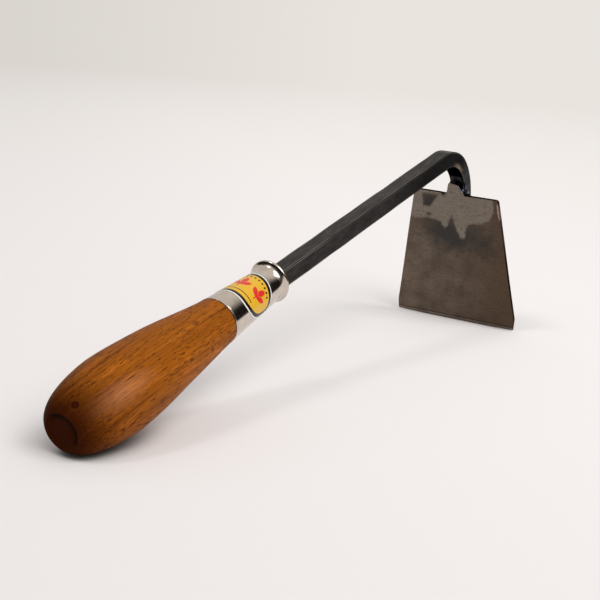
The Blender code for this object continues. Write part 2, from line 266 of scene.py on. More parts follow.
# The floor's darkening round the tool is a painted contact shadow
CONTACT_REACH = 24 * MM  # how far round the tool the floor is darkened
CLEARANCE = 0.3 * MM  # between two pieces that bear on each other
TENON_SHORT = 2 * MM  # from the tenon's end to the ferrule's throat
LABEL_LIFT = 0.02 * MM  # of the label off the cone


def ferrule_start(look):
    """Where the ferrule starts, along the handle's axis."""
    return look.handle.grip_length + CLEARANCE


def throat_at(look):
    """Where the ferrule is narrowest."""
    return ferrule_start(look) + look.ferrule.cone_length


def rim_front(look):
    """Where the ferrule ends."""
    return throat_at(look) + look.ferrule.flare_length


def shoulder_at(look):
    """Where the bar's shoulder bears on the end of the tenon, which stops short of the throat."""
    return throat_at(look) - TENON_SHORT + CLEARANCE


def cone_slope(look):
    """How fast the cone's radius changes along the axis."""
    return (look.ferrule.throat_radius - look.handle.neck_radius) / look.ferrule.cone_length


def cone_radius(look, along):
    """Outer radius of the ferrule's cone, which shrinks evenly from neck to throat."""
    return look.handle.neck_radius + cone_slope(look) * (along - ferrule_start(look))


def blade_frame(look):
    """The blade's frame as a matrix. The sheet lies on the inner side of the bar's straight end."""
    bar = look.bar
    turn = bar.bend_angle
    outward = Vector((math.sin(turn), 0.0, math.cos(turn)))
    onward = Vector((math.cos(turn), 0.0, -math.sin(turn)))
    inward = bar.bend_radius - bar.side / 2 - CLEARANCE - look.blade.thickness
    centre = Vector((rim_front(look) + bar.straight, 0.0, -bar.bend_radius))
    place = centre + inward * outward + bar.above_blade * onward
    return TOOL @ Matrix.Translation(place) @ Matrix.Rotation(turn - SQUARE, 4, "Y")


def arc(centre, radius, start, end, steps):
    """Points of a circle's arc from one angle to another, both included."""
    turn = np.linspace(start, end, steps + 1)
    return np.column_stack((centre[0] + radius * np.cos(turn), centre[1] + radius * np.sin(turn)))


def bezier(start, start_handle, end_handle, end, steps):
    """Points of a cubic curve: its four corners weighted by the terms of (1 - t + t) cubed."""
    t = np.linspace(0.0, 1.0, steps + 1)[:, None]
    weights = ((1 - t) ** 3, 3 * (1 - t) ** 2 * t, 3 * (1 - t) * t**2, t**3)
    return sum(w * np.array(corner) for w, corner in zip(weights, (start, start_handle, end_handle, end)))


def waves(points, size, seed, count=40):
    """Smooth unevenness about 0, in steps of about one size: a sum of plane waves whose directions and
    phases are drawn from a seed, divided by the square root of their number."""
    draw = np.random.default_rng(seed)
    directions = draw.normal(size=(count, 3))
    directions *= (2 * math.pi / size) * draw.uniform(0.5, 1.3, (count, 1)) / np.linalg.norm(
        directions, axis=1, keepdims=True
    )
    phases = draw.uniform(0.0, 2 * math.pi, count)
    total = np.zeros(points.shape[:-1])
    for direction, phase in zip(directions, phases):
        total += np.sin(points @ direction + phase)
    return total * math.sqrt(2.0 / count)


def smooth_step(value, low, high):
    """0 below low, 1 above high, and the cubic 3t^2 - 2t^3 between them."""
    t = np.clip((value - low) / (high - low), 0.0, 1.0)
    return t * t * (3.0 - 2.0 * t)


def bell(value, middle, width):
    """1 at the middle and 0.37 a width away from it: exp(-((value - middle) / width)^2)."""
    return np.exp(-(((value - middle) / width) ** 2))


def points_of(x, y, z):
    """A grid of points from its coordinates, each a number or an array."""
    return np.stack(np.broadcast_arrays(x, y, z), axis=-1)


def turned(outline, steps):
    """A turned surface: point (along, radius) of the outline at turn t is (along, -radius sin t,
    radius cos t), so t runs from the top over the tool's right side."""
    turn = np.linspace(0.0, 2 * math.pi, steps, endpoint=False)
    along, radius = outline[:, :1], outline[:, 1:]
    return points_of(along, -radius * np.sin(turn), radius * np.cos(turn))


def square_reach(turn):
    """Distance from the middle of a square with half side 1 to its edge, in a direction."""
    return 1.0 / np.maximum(np.abs(np.cos(turn)), np.abs(np.sin(turn)))


def skin_faces(rows, columns, ring):
    """Quads between neighbouring rows, whose last column joins the first. A ring joins its last row to
    its first too."""
    first = np.arange(rows if ring else rows - 1)[:, None] * columns
    second = (first + columns) % (rows * columns)
    near = np.arange(columns)[None, :]
    far = (near + 1) % columns
    quads = np.stack((first + near, first + far, second + far, second + near), axis=-1)
    return quads.reshape(-1, 4)


def add_object(name, grid, faces, finish, marks=None):
    """Makes an object from a grid of points (rows, columns, 3) and its faces. Marks are further numbers or
    places at each point, which the finish reads."""
    mesh = bpy.data.meshes.new(name)
    mesh.from_pydata(grid.reshape(-1, 3).tolist(), [], faces)
    for mark, values in (marks or {}).items():
        kind, key = ("FLOAT_VECTOR", "vector") if values.ndim == grid.ndim else ("FLOAT", "value")
        attribute = mesh.attributes.new(mark, kind, "POINT")
        attribute.data.foreach_set(key, values.astype(np.float32).ravel())
    mesh.materials.append(finish)
    made = bpy.data.objects.new(name, mesh)
    bpy.context.scene.collection.objects.link(made)
    return made


def add_skin(name, grid, matrix, finish, ring=False, marks=None):
    """Makes a closed piece from a grid of points in the frame that matrix gives. Each row closes on
    itself, and end rows get a flat cap each, or meet where the skin is a ring."""
    rows, columns = grid.shape[:2]
    grid = grid @ np.array(matrix.to_3x3()).T + np.array(matrix.translation)
    quads = skin_faces(rows, columns, ring)
    a, b, c, d = (grid.reshape(-1, 3)[quads[:, corner]] for corner in range(4))
    outward = np.einsum("ij,ij->", a, np.cross(b, c)) + np.einsum("ij,ij->", a, np.cross(c, d))
    caps = [] if ring else [np.arange(columns)[::-1], np.arange((rows - 1) * columns, rows * columns)]
    faces = quads.tolist() + [cap.tolist() for cap in caps]
    if outward < 0:
        faces = [face[::-1] for face in faces]
    piece = add_object(name, grid, faces, finish, marks)
    smooth = np.arange(len(faces)) < len(quads)
    piece.data.polygons.foreach_set("use_smooth", smooth)
    return piece


def dress(piece, node):
    """The piece rides on the tool's one body and stands for a CAD node, which it hides."""
    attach(piece, "root")
    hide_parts(node)


def linear(hex_colour):
    """An sRGB hex value as linear red, green, blue and alpha."""
    shares = np.array([int(hex_colour[i : i + 2], 16) / 255 for i in (1, 3, 5)])
    light = np.where(shares <= 0.04045, shares / 12.92, ((shares + 0.055) / 1.055) ** 2.4)
    return (*light.tolist(), 1.0)


def new_finish(name):
    """An empty material and its empty node tree."""
    finish = bpy.data.materials.new(name)
    finish.use_nodes = True
    finish.node_tree.nodes.clear()
    return finish, finish.node_tree


def add(tree, kind, inputs, out=None, stops=None, **settings):
    """Adds a node with its settings and its colour ramp's stops. Its inputs in use, by name or place, get
    values or links from other nodes' sockets. Returns one output by name, or else the first in use."""
    node = tree.nodes.new("ShaderNode" + kind)
    for key, value in settings.items():
        setattr(node, key, value)
    used = [socket for socket in node.inputs if socket.enabled]
    for key, value in inputs.items():
        socket = used[key] if isinstance(key, int) else next(s for s in used if s.name == key)
        if isinstance(value, NodeSocket):
            tree.links.new(value, socket)
        else:
            socket.default_value = value
    if stops:
        elements = node.color_ramp.elements
        while len(elements) < len(stops):
            elements.new(1.0)
        for element, (place, shade) in zip(elements, stops):
            element.position = place
            element.color = shade
    return node.outputs[out] if out else next((s for s in node.outputs if s.enabled), None)


def dimmed(shade, shares):
    """A linear colour whose red, green and blue are multiplied by one share, or by three."""
    return (*(np.array(shade[:3]) * shares).tolist(), 1.0)


def in_frame(tree, matrix):
    """A place, counted in metres in the frame that a matrix gives."""
    place = {"Location": matrix.translation, "Rotation": matrix.to_euler()}
    place["Vector"] = add(tree, "TexCoord", {}, out="Object")
    return add(tree, "Mapping", place, vector_type="TEXTURE")


def lumps(tree, place, sizes, detail, roughness=0.5):
    """A noise about one half, whose lumps measure about the one or three sizes given in millimetres."""
    per_metre = (1.0 / (np.broadcast_to(sizes, 3) * MM)).tolist()
    place = add(tree, "VectorMath", {0: place, 1: per_metre}, operation="MULTIPLY")
    return add(tree, "TexNoise", {"Vector": place, "Scale": 1.0, "Detail": detail, "Roughness": roughness})


def shaded(tree, tone, value, start, end, low=0.3, high=0.7):
    """The tone times a light that goes from start to end as a value goes from low to high."""
    light = {"Value": value, "From Min": low, "From Max": high, "To Min": start, "To Max": end}
    return add(tree, "VectorMath", {0: tone, "Scale": add(tree, "MapRange", light)}, operation="SCALE")


def tinted(tree, tone, shade, value, low, high, start=0.0, end=1.0):
    """The tone mixed with a colour, whose share goes from start to end as a value goes from low to high."""
    share = {"Value": value, "From Min": low, "From Max": high, "To Min": start, "To Max": end}
    return add(tree, "Mix", {"Factor": add(tree, "MapRange", share), "A": tone, "B": shade}, data_type="RGBA")


def marked(tree, tone, shade, mark):
    """The tone mixed with a colour by the share that a mark of the mesh gives."""
    share = add(tree, "Attribute", {}, out="Fac", attribute_name=mark)
    return add(tree, "Mix", {"Factor": share, "A": tone, "B": shade}, data_type="RGBA")


def off_circle(tree, place, centre, radius):
    """How far a place lies outside a circle or a ball."""
    reach = add(tree, "VectorMath", {0: place, 1: centre}, out="Value", operation="DISTANCE")
    return add(tree, "Math", {0: reach, 1: radius}, operation="SUBTRACT")


def off_span(tree, value, middle, half):
    """How far a value lies outside a span, given by its middle and half its length."""
    value = add(tree, "Math", {0: value, 1: middle}, operation="SUBTRACT")
    value = add(tree, "Math", {0: value}, operation="ABSOLUTE")
    return add(tree, "Math", {0: value, 1: half}, operation="SUBTRACT")


def surfaced(finish, tree, relief, depth, inputs):
    """Ends a finish with its shader and a relief, whose depth is in millimetres."""
    relief = add(tree, "Bump", {"Height": relief, "Distance": depth * MM, "Strength": 1.0})
    shader = add(tree, "BsdfPrincipled", {**inputs, "Normal": relief}, out="BSDF")
    add(tree, "OutputMaterial", {"Surface": shader})
    return finish


# Places on the handle, in the tool's frame: where sanding left it high, how far the end grain's oil has
# spread, the pale patch of wear and painted sheen on the belly (turned with the grain) and half its size,
# a pin knot, and a scratch with half its size. The scratch lies at a turn about the handle's axis, from its
# top towards its right side.
HIGH_AT = 76 * MM
HIGH_REACH = 17 * MM
HIGH_BY = 0.4 * MM
SOAK_REACH = 17 * MM
WEAR_AND_SHEEN_AT = (24 * MM, -4 * MM, 19 * MM)
WEAR_AND_SHEEN_SIZE = (26 * MM, 7 * MM, 12 * MM)
KNOT_AT = (4.6 * MM, -6.1 * MM, 12.8 * MM)
KNOT_RADIUS = 1.1 * MM
SCRATCH_AT = (33.4 * MM, -14.05 * MM, 14.5 * MM)
SCRATCH_SIZE = (5.5 * MM, 0.35 * MM, 8 * MM)
SCRATCH_TURN = math.radians(44.1)


def oiled_wood(look):
    """Tropical hardwood, turned, sanded along its grain and oiled: streaks and short open pores run
    straight along the handle, and the oil leaves a soft sheen and a nearly black end grain. A paler patch
    on the belly is wear and a painted sheen, and painted shade darkens the left side and the dish's corner."""
    finish, tree = new_finish("oiled hardwood, turned")
    wood = look.handle
    heart, late, early, pore, wear_and_sheen, end = map(
        linear, (wood.heartwood, wood.late_wood, wood.early_wood, wood.pore, wood.wear_and_sheen, wood.end_grain)
    )
    place = in_frame(tree, TOOL)
    # The growth layers stand upright in the side at the scratch, so streaks run straight there
    grain = {"Vector": place, "Rotation": (SCRATCH_TURN, 0.0, 0.0)}
    grain = add(tree, "Mapping", grain, vector_type="TEXTURE")
    # Streaks a decimetre long and about 2 mm wide
    stops = ((0.30, late), (0.44, heart), (0.56, heart), (0.72, early))
    tone = add(tree, "ValToRGB", {"Fac": lumps(tree, grain, (110, 2.3, 14), 2.0)}, stops=stops)
    # Broad areas, in which the pores crowd
    area = lumps(tree, grain, (40, 6, 12), 2.0)
    tone = shaded(tree, tone, area, 0.88, 1.12)
    # Fibres 0.6 mm wide, as coarse as they need to be to show
    fibre = lumps(tree, grain, (30, 0.6, 3), 2.0, 0.6)
    tone = shaded(tree, tone, fibre, 0.80, 1.17)
    # Open pores, drawn a third of a millimetre wide and some millimetres long so that they show
    hollow = lumps(tree, grain, (5.5, 0.35, 1.0), 1.0)
    hollow = add(tree, "Math", {0: area, 1: 0.22, 2: hollow}, operation="MULTIPLY_ADD")
    hollow = add(tree, "MapRange", {"Value": hollow, "From Min": 0.68, "From Max": 0.78, "To Max": 0.85})
    tone = add(tree, "Mix", {"Factor": hollow, "A": tone, "B": pore}, data_type="RGBA")
    # Wear and a painted sheen: the belly's upper right side is paler, where the palm has rubbed it
    paler_patch = {"Vector": grain, "Location": WEAR_AND_SHEEN_AT, "Scale": WEAR_AND_SHEEN_SIZE}
    paler_patch = add(tree, "Mapping", paler_patch, vector_type="TEXTURE")
    paler_patch = add(tree, "VectorMath", {0: paler_patch}, out="Value", operation="LENGTH")
    paler_patch = add(tree, "Math", {0: fibre, 1: 0.8, 2: paler_patch}, operation="MULTIPLY_ADD")
    tone = tinted(tree, tone, wear_and_sheen, paler_patch, 0.5, 1.4, start=0.45, end=0.0)
    # The small ring of a pin knot near the butt, on the upper right side
    ring = add(tree, "Math", {0: off_circle(tree, place, KNOT_AT, KNOT_RADIUS)}, operation="ABSOLUTE")
    tone = tinted(tree, tone, end, ring, 0.4 * MM, 1.0 * MM, start=0.95, end=0.0)
    # A scratch along the grain: raised pale fibres beside a dark split
    scratch = {"Location": SCRATCH_AT, "Rotation": (SCRATCH_TURN, 0.0, 0.0), "Scale": SCRATCH_SIZE}
    scratch = add(tree, "Mapping", {"Vector": place, **scratch}, vector_type="TEXTURE")
    for middle, shade, strength in (((0, 0, 0), early, 0.9), ((-0.1, -2.0, 0), end, 0.7)):
        reach = off_circle(tree, scratch, middle, 0.5)
        tone = tinted(tree, tone, shade, reach, 0.0, 0.5, start=strength, end=0.0)
    # Painted shade: the wood is darker towards the handle's left side, which faces away from the light
    left = add(tree, "SeparateXYZ", {0: place}, out="Y")
    tone = shaded(tree, tone, left, 1.0, 0.72, low=0.0, high=14 * MM)
    # Oil soaks in from the end grain, and painted shade lies darkest in the dish's upper right corner
    tone = marked(tree, tone, end, "soak")
    tone = marked(tree, tone, dimmed(end, 0.12), "dish_shade")
    gloss = {"Value": hollow, "From Min": 0.0, "From Max": 1.0, "To Min": 0.48, "To Max": 0.7}
    soak = add(tree, "Attribute", {}, out="Fac", attribute_name="soak")
    dulled = {"Value": soak, "From Min": 0.0, "From Max": 0.8, "To Min": 0.06, "To Max": 0.01}
    inputs = {"Base Color": tone, "Roughness": add(tree, "MapRange", gloss), "IOR": 1.5}
    inputs["Specular IOR Level"] = add(tree, "MapRange", dulled)
    relief = add(tree, "Math", {0: hollow, 1: -1.0, 2: fibre}, operation="MULTIPLY_ADD")
    return surfaced(finish, tree, relief, 0.08, inputs)


def nickel_plate(look):
    """Nickel plate on drawn steel, buffed bright: a warm white mirror, with faint rings from the buff and
    a slight unevenness of the sleeve under it."""
    finish, tree = new_finish("nickel plate, buffed")
    nickel = linear(look.ferrule.nickel)
    place = in_frame(tree, TOOL)
    cloud = lumps(tree, place, 5, 3.0)
    tone = tinted(tree, nickel, dimmed(nickel, 0.86), cloud, 0.35, 0.7)
    gloss = add(tree, "Math", {0: lumps(tree, place, (0.4, 9, 9), 2.0), 1: cloud}, operation="ADD")
    gloss = {"Value": gloss, "From Min": 0.7, "From Max": 1.3, "To Min": 0.12, "To Max": 0.18}
    inputs = {"Base Color": tone, "Metallic": 1.0, "Roughness": add(tree, "MapRange", gloss)}
    return surfaced(finish, tree, lumps(tree, place, 4, 1.0), 0.015, inputs)


# Each leaf of a sprig as its circles' centres and radius: the side leaf, then the upper one. Sprigs stand
# a step apart, and so do the dots. The dots, the rule and the stems are given by their half sizes.
SPRIG_STEP = 11.4 * MM
SPRIG_LEAVES = (
    (((0.5 * MM, 1.8 * MM, 0.0), (4.3 * MM, -1.9 * MM, 0.0)), 4.2 * MM),
    (((-2.3 * MM, 3.0 * MM, 0.0),), 3.9 * MM),
)
STEM_AT = -1.6 * MM
STEM_HALF = (0.35 * MM, 3.0 * MM)
DOT_STEP = 2.5 * MM
DOT_RADIUS = 0.65 * MM
DOTS_INSIDE = 4.6 * MM  # from the arc to the dots
DOTS_HALF = 16.3 * MM
RULE_AT = -7.6 * MM
RULE_HALF = (13.0 * MM, 0.3 * MM)


def printed_paper(look):
    """Coated paper, printed in three inks and varnished: flat even colours under a soft gloss. The white
    edge and the dark border follow the outline. The field holds three sprigs of three leaves, a ruled
    line at the wood's side and a row of dots along the arc. Each shape is a distance, below 0 inside: the
    larger of two is where shapes overlap, and the smaller joins them."""
    finish, tree = new_finish("coated paper, printed and varnished")
    label = look.label
    paper, ink, field, red = map(linear, (label.paper, label.border, label.field, label.sprig))
    flat = add(tree, "Attribute", {}, out="Vector", attribute_name="flat")
    inset = add(tree, "Attribute", {}, out="Fac", attribute_name="inset")
    across = add(tree, "SeparateXYZ", {0: flat}, out="X")
    along = add(tree, "SeparateXYZ", {0: flat}, out="Y")
    # One sprig in three, mirrored about its stem: each leaf is where circles overlap
    near = add(tree, "Math", {0: across, 1: -SPRIG_STEP / 2, 2: SPRIG_STEP / 2}, operation="WRAP")
    near = add(tree, "Math", {0: near}, operation="ABSOLUTE")
    place = add(tree, "CombineXYZ", {0: near, 1: along, 2: 0.0})
    stem = {0: off_span(tree, near, 0.0, STEM_HALF[0]), 1: off_span(tree, along, STEM_AT, STEM_HALF[1])}
    sprig = add(tree, "Math", stem, operation="MAXIMUM")
    for centres, radius in SPRIG_LEAVES:
        leaf = off_circle(tree, place, centres[0], radius)
        for centre in centres[1:]:
            other = off_circle(tree, place, centre, radius)
            leaf = add(tree, "Math", {0: leaf, 1: other}, operation="MAXIMUM")
        sprig = add(tree, "Math", {0: sprig, 1: leaf}, operation="MINIMUM")
    three = off_span(tree, across, 0.0, 1.5 * SPRIG_STEP)
    sprigs = add(tree, "Math", {0: sprig, 1: three}, operation="MAXIMUM")
    # Dots on a circle about the arc's own centre
    centre = label.half_width - label.arc_radius
    circle = label.arc_radius - DOTS_INSIDE
    rise = add(tree, "Math", {0: along, 1: centre}, operation="SUBTRACT")
    run = add(tree, "Math", {0: across, 1: rise}, operation="ARCTAN2")
    run = add(tree, "Math", {0: run, 1: circle}, operation="MULTIPLY")
    beside = add(tree, "Math", {0: run, 1: -DOT_STEP / 2, 2: DOT_STEP / 2}, operation="WRAP")
    dot = {0: beside, 1: off_circle(tree, flat, (0.0, centre, 0.0), circle), 2: 0.0}
    dot = off_circle(tree, add(tree, "CombineXYZ", dot), (0.0, 0.0, 0.0), DOT_RADIUS)
    dots = add(tree, "Math", {0: dot, 1: off_span(tree, run, 0.0, DOTS_HALF)}, operation="MAXIMUM")
    rule = {0: off_span(tree, across, 0.0, RULE_HALF[0]), 1: off_span(tree, along, RULE_AT, RULE_HALF[1])}
    rule = add(tree, "Math", rule, operation="MAXIMUM")
    lines = add(tree, "Math", {0: dots, 1: rule}, operation="MINIMUM")
    # Ink lies a little unevenly on the field
    tone = shaded(tree, field[:3], lumps(tree, flat, 0.6, 2.0), 0.88, 1.06)
    border = label.edge_width + label.border_width
    layers = ((red, sprigs, 0.0), (ink, lines, 0.0), (ink, inset, border), (paper, inset, label.edge_width))
    for shade, value, limit in layers:
        inside = add(tree, "Math", {0: value, 1: limit}, operation="LESS_THAN")
        tone = add(tree, "Mix", {"Factor": inside, "A": tone, "B": shade}, data_type="RGBA")
    shader = {"Base Color": tone, "Roughness": 0.26, "IOR": 1.5, "Specular IOR Level": 0.3}
    add(tree, "OutputMaterial", {"Surface": add(tree, "BsdfPrincipled", shader, out="BSDF")})
    return finish


def forge_black(look):
    """Hot-rolled square bar, bent hot and left black: a thin grey scale with faint darker patches and
    streaks along the bar, wear with a painted highlight as a bright line on each side of the long edges,
    painted shade that keeps the sides darker than the top, and soot and a gloss where the weld's heat
    reached."""
    finish, tree = new_finish("hot-rolled steel, forge-black")
    bar = look.bar
    scale, dark, soot_and_side_shade = map(linear, (bar.scale, bar.scale_dark, bar.soot_and_side_shade))
    place = in_frame(tree, TOOL)
    patches = lumps(tree, place, (9, 3, 3), 4.0, 0.6)
    tone = tinted(tree, scale, dark, patches, 0.36, 0.66)
    # Streaks 1 mm wide and some centimetres long, from rolling
    tone = shaded(tree, tone, lumps(tree, place, (30, 0.9, 0.9), 2.0), 0.86, 1.14)
    # Grains of scale, drawn 0.7 mm across so that they show
    speck = lumps(tree, place, 0.7, 2.0)
    tone = shaded(tree, tone, speck, 0.84, 1.16)
    # Soot that the weld's heat left up to the bend, and painted shade that keeps the sides darker than the
    # top
    tone = marked(tree, tone, soot_and_side_shade, "soot_and_side_shade")
    # Wear and a painted highlight: the steel is paler in places beside the long edges, and most near the
    # ferrule
    rub_and_highlight = lumps(tree, place, (33.33, 1.0, 1.0), 3.0)
    beside = add(tree, "Attribute", {}, out="Fac", attribute_name="off_arris")
    onward = add(tree, "SeparateXYZ", {0: place}, out="X")
    rub_and_highlight = {"Value": rub_and_highlight, "From Min": 0.34, "From Max": 0.56, "To Min": 0.2}
    beside = {"Value": beside, "From Min": 0.05 * MM, "From Max": 0.18 * MM, "To Min": 0.9, "To Max": 0.0}
    onward = {"Value": onward, "From Min": 185 * MM, "From Max": 225 * MM, "To Min": 1.0, "To Max": 0.4}
    rub_and_highlight = {0: add(tree, "MapRange", rub_and_highlight), 1: add(tree, "MapRange", beside)}
    rub_and_highlight = add(tree, "Math", rub_and_highlight, operation="MULTIPLY")
    rub_and_highlight = add(tree, "Math", {0: rub_and_highlight, 1: add(tree, "MapRange", onward)}, operation="MULTIPLY")
    tone = add(tree, "Mix", {"Factor": rub_and_highlight, "A": tone, "B": linear(bar.wear_and_sheen)}, data_type="RGBA")
    # The flame left a tan mark inside the bend, and a glossy black one on the bend's inner face
    tone = marked(tree, tone, linear(bar.heat_mark), "torch")
    tone = marked(tree, tone, dimmed(dark, 0.1), "fused")
    fused = add(tree, "Attribute", {}, out="Fac", attribute_name="fused")
    gloss = {"Value": patches, "From Min": 0.3, "From Max": 0.7, "To Min": 0.36, "To Max": 0.50}
    gloss = add(tree, "Mix", {"Factor": fused, "A": add(tree, "MapRange", gloss), "B": 0.16})
    # Soot, and the painted shade on the sides, keep the steel black at every angle
    soot_and_shade_share = add(tree, "Attribute", {}, out="Fac", attribute_name="soot_and_side_shade")
    soot_and_shade_share = add(tree, "MapRange", {"Value": soot_and_shade_share, "From Min": 0.45, "From Max": 1.0, "To Max": 0.55})
    soot_and_shade_share = add(tree, "Math", {0: fused, 1: soot_and_shade_share}, operation="MAXIMUM")
    soot_and_shade_share = {"Factor": soot_and_shade_share, "A": WHITE, "B": dimmed(WHITE, 0.05)}
    inputs = {"Base Color": tone, "Metallic": 1.0, "Roughness": gloss}
    inputs["Specular Tint"] = add(tree, "Mix", soot_and_shade_share, data_type="RGBA")
    relief = add(tree, "Math", {0: speck, 1: 0.5, 2: patches}, operation="MULTIPLY_ADD")
    return surfaced(finish, tree, relief, 0.03, inputs)


LOWER_LEFT = (0.0, 1.0, -0.35)  # a direction on the blade's face

# Light on the foot of the blade's face, by height as a share of two bevels: a bright line along the
# bevel's top, and a dark one above it
FOOT_LIGHT = ((0.0, 1.0), (0.35, 1.0), (0.41, 1.6), (0.50, 1.6), (0.56, 0.6), (0.675, 0.6), (0.85, 1.0))


def rolled_steel(look):
    """Rolled sheet steel with a brown-grey skin. Round the weld it was ground back to grey metal, whose
    lower edge runs out in tongues, and the heat left a dark cloud under it."""
    finish, tree = new_finish("rolled sheet steel, ground at the weld")
    blade = look.blade
    rolled, tint, ground, bare = map(linear, (blade.rolled, blade.tint, blade.ground, blade.bare))
    place = in_frame(tree, blade_frame(look))
    tone = shaded(tree, rolled[:3], lumps(tree, place, 14, 4.0, 0.6), 0.78, 1.24, low=0.35, high=0.65)
    # The skin turns browner towards the right
    side = add(tree, "SeparateXYZ", {0: place}, out="Y")
    tone = tinted(tree, tone, dimmed(rolled, (0.78, 0.68, 0.58)), side, 0.0, -34 * MM, end=0.9)
    # It is rubbed paler at the lower left
    paler_patch = add(tree, "VectorMath", {0: place, 1: LOWER_LEFT}, out="Value", operation="DOT_PRODUCT")
    tone = shaded(tree, tone, paler_patch, 1.0, 1.2, low=30 * MM, high=52 * MM)
    # The cloud that the heat left, which ends unevenly
    heat = add(tree, "Attribute", {}, out="Fac", attribute_name="scorch")
    heat = add(tree, "Math", {0: lumps(tree, place, 6, 4.0, 0.6), 1: 1.1, 2: heat}, operation="MULTIPLY_ADD")
    tone = tinted(tree, tone, tint, heat, 0.8, 1.6, end=0.9)
    # The ground area, whose edge is ragged by about a millimetre, with dark pits in it
    inside = add(tree, "Attribute", {}, out="Fac", attribute_name="ground")
    inside = {0: lumps(tree, place, 1.9, 3.0), 1: 2.2 * MM, 2: inside}
    inside = add(tree, "Math", inside, operation="MULTIPLY_ADD")
    inside = {"Value": inside, "From Min": 0.1 * MM, "From Max": 2.1 * MM}
    inside = add(tree, "MapRange", inside, interpolation_type="SMOOTHSTEP")
    pits = lumps(tree, place, 2.0, 3.0)
    pits = {"Value": pits, "From Min": 0.56, "From Max": 0.70, "To Min": 1.0, "To Max": 0.3}
    inside = add(tree, "Math", {0: inside, 1: add(tree, "MapRange", pits)}, operation="MULTIPLY")
    tone = add(tree, "Mix", {"Factor": inside, "A": tone, "B": ground}, data_type="RGBA")
    # The bevel at the foot is ground
    foot = add(tree, "SeparateXYZ", {0: place}, out="Z")
    foot = add(tree, "Math", {0: foot, 1: blade.height}, operation="ADD")
    bevel = blade.face_bevel
    tone = tinted(tree, tone, ground, foot, 0.9 * bevel, 1.1 * bevel, start=0.4, end=0.0)
    # A ramp's colours end at 1, so it holds half the light
    stops = [(at, dimmed(WHITE, light / 2)) for at, light in FOOT_LIGHT]
    foot = add(tree, "MapRange", {"Value": foot, "From Min": 0.0, "From Max": 2 * bevel})
    foot = add(tree, "ValToRGB", {"Fac": foot}, stops=stops)
    foot = add(tree, "Math", {0: foot, 1: 2.0}, operation="MULTIPLY")
    tone = add(tree, "VectorMath", {0: tone, "Scale": foot}, operation="SCALE")
    # Painted shade on the sheet's cut edges, in the undercut and on the tongue's sides, and a nick in the
    # right edge is bare
    tone = marked(tree, tone, dimmed(rolled, 0.16), "cut")
    tone = marked(tree, tone, bare, "nick")
    # Grain of the skin, drawn 1 mm across so that it shows, and fine level scratches
    fleck = lumps(tree, place, 1.0, 3.0, 0.6)
    tone = shaded(tree, tone, fleck, 0.82, 1.18)
    tone = shaded(tree, tone, lumps(tree, place, (8, 8, 0.7), 2.0), 0.87, 1.13)
    gloss = {"Value": fleck, "From Min": 0.3, "From Max": 0.7, "To Min": 0.36, "To Max": 0.50}
    inputs = {"Base Color": tone, "Metallic": 1.0, "Roughness": add(tree, "MapRange", gloss)}
    # Painted shade: the shaded edges reflect little
    inputs["Specular Tint"] = marked(tree, WHITE, dimmed(WHITE, 0.1), "cut")
    return surfaced(finish, tree, fleck, 0.03, inputs)


def weld_steel(look):
    """Arc weld, left as it froze: a smooth blue-black skin with a wet gloss, a few straw-brown spots and a
    painted highlight on its blued part.
    """
    finish, tree = new_finish("weld bead, as laid")
    weld = look.weld
    spot = lumps(tree, in_frame(tree, blade_frame(look)), 2.2, 3.0)
    tone = tinted(tree, linear(weld.bead), linear(look.bar.heat_mark), spot, 0.55, 0.75, end=0.4)
    tone = marked(tree, tone, linear(weld.blue), "blued")
    # Painted highlight on the bead at the bar's right corner and at the fillet's right end
    tone = marked(tree, tone, linear(weld.painted_glint), "painted_glint")
    gloss = {"Value": spot, "From Min": 0.3, "From Max": 0.7, "To Min": 0.12, "To Max": 0.26}
    inputs = {"Base Color": tone, "Metallic": 1.0, "Roughness": add(tree, "MapRange", gloss)}
    return surfaced(finish, tree, spot, 0.10, inputs)


def handle_outline(look):
    """Dish, lip, grip, shoulder and tenon as (along, radius). The dish is depth times 1 - (r/R)^8."""
    sizes = look.handle
    rim = sizes.butt_radius - sizes.lip
    radius = np.linspace(0.04, 1.0, 40) * rim
    dish = np.column_stack((sizes.dish * (1.0 - (radius / rim) ** 8), radius))
    butt = (0.0, sizes.butt_radius)
    leave = (
        sizes.butt_pull * math.cos(sizes.butt_angle),
        sizes.butt_radius + sizes.butt_pull * math.sin(sizes.butt_angle),
    )
    belly = (sizes.belly_at, sizes.belly_radius)
    back = bezier(butt, leave, (sizes.belly_at - sizes.belly_back, sizes.belly_radius), belly, 72)
    front = bezier(
        belly,
        (sizes.belly_at + sizes.belly_front, sizes.belly_radius),
        (sizes.grip_length - sizes.neck_pull, sizes.neck_radius),
        (sizes.grip_length, sizes.neck_radius),
        110,
    )
    back = back[np.linalg.norm(back - back[0], axis=1) > sizes.lip]
    lip = bezier(dish[-1], butt, butt, back[0], 12)
    front = front[front[:, 0] < sizes.grip_length - sizes.shoulder]
    edge = (sizes.grip_length, front[-1, 1])
    shoulder = bezier(front[-1], edge, edge, (sizes.grip_length, front[-1, 1] - sizes.shoulder), 8)
    start = ferrule_start(look)
    along = np.array((start - CLEARANCE, start + 3 * MM, shoulder_at(look) - CLEARANCE))
    tenon = np.column_stack((along, cone_radius(look, along) - look.ferrule.wall - CLEARANCE))
    return np.vstack((dish, lip[1:-1], back, front[1:-1], shoulder, tenon))


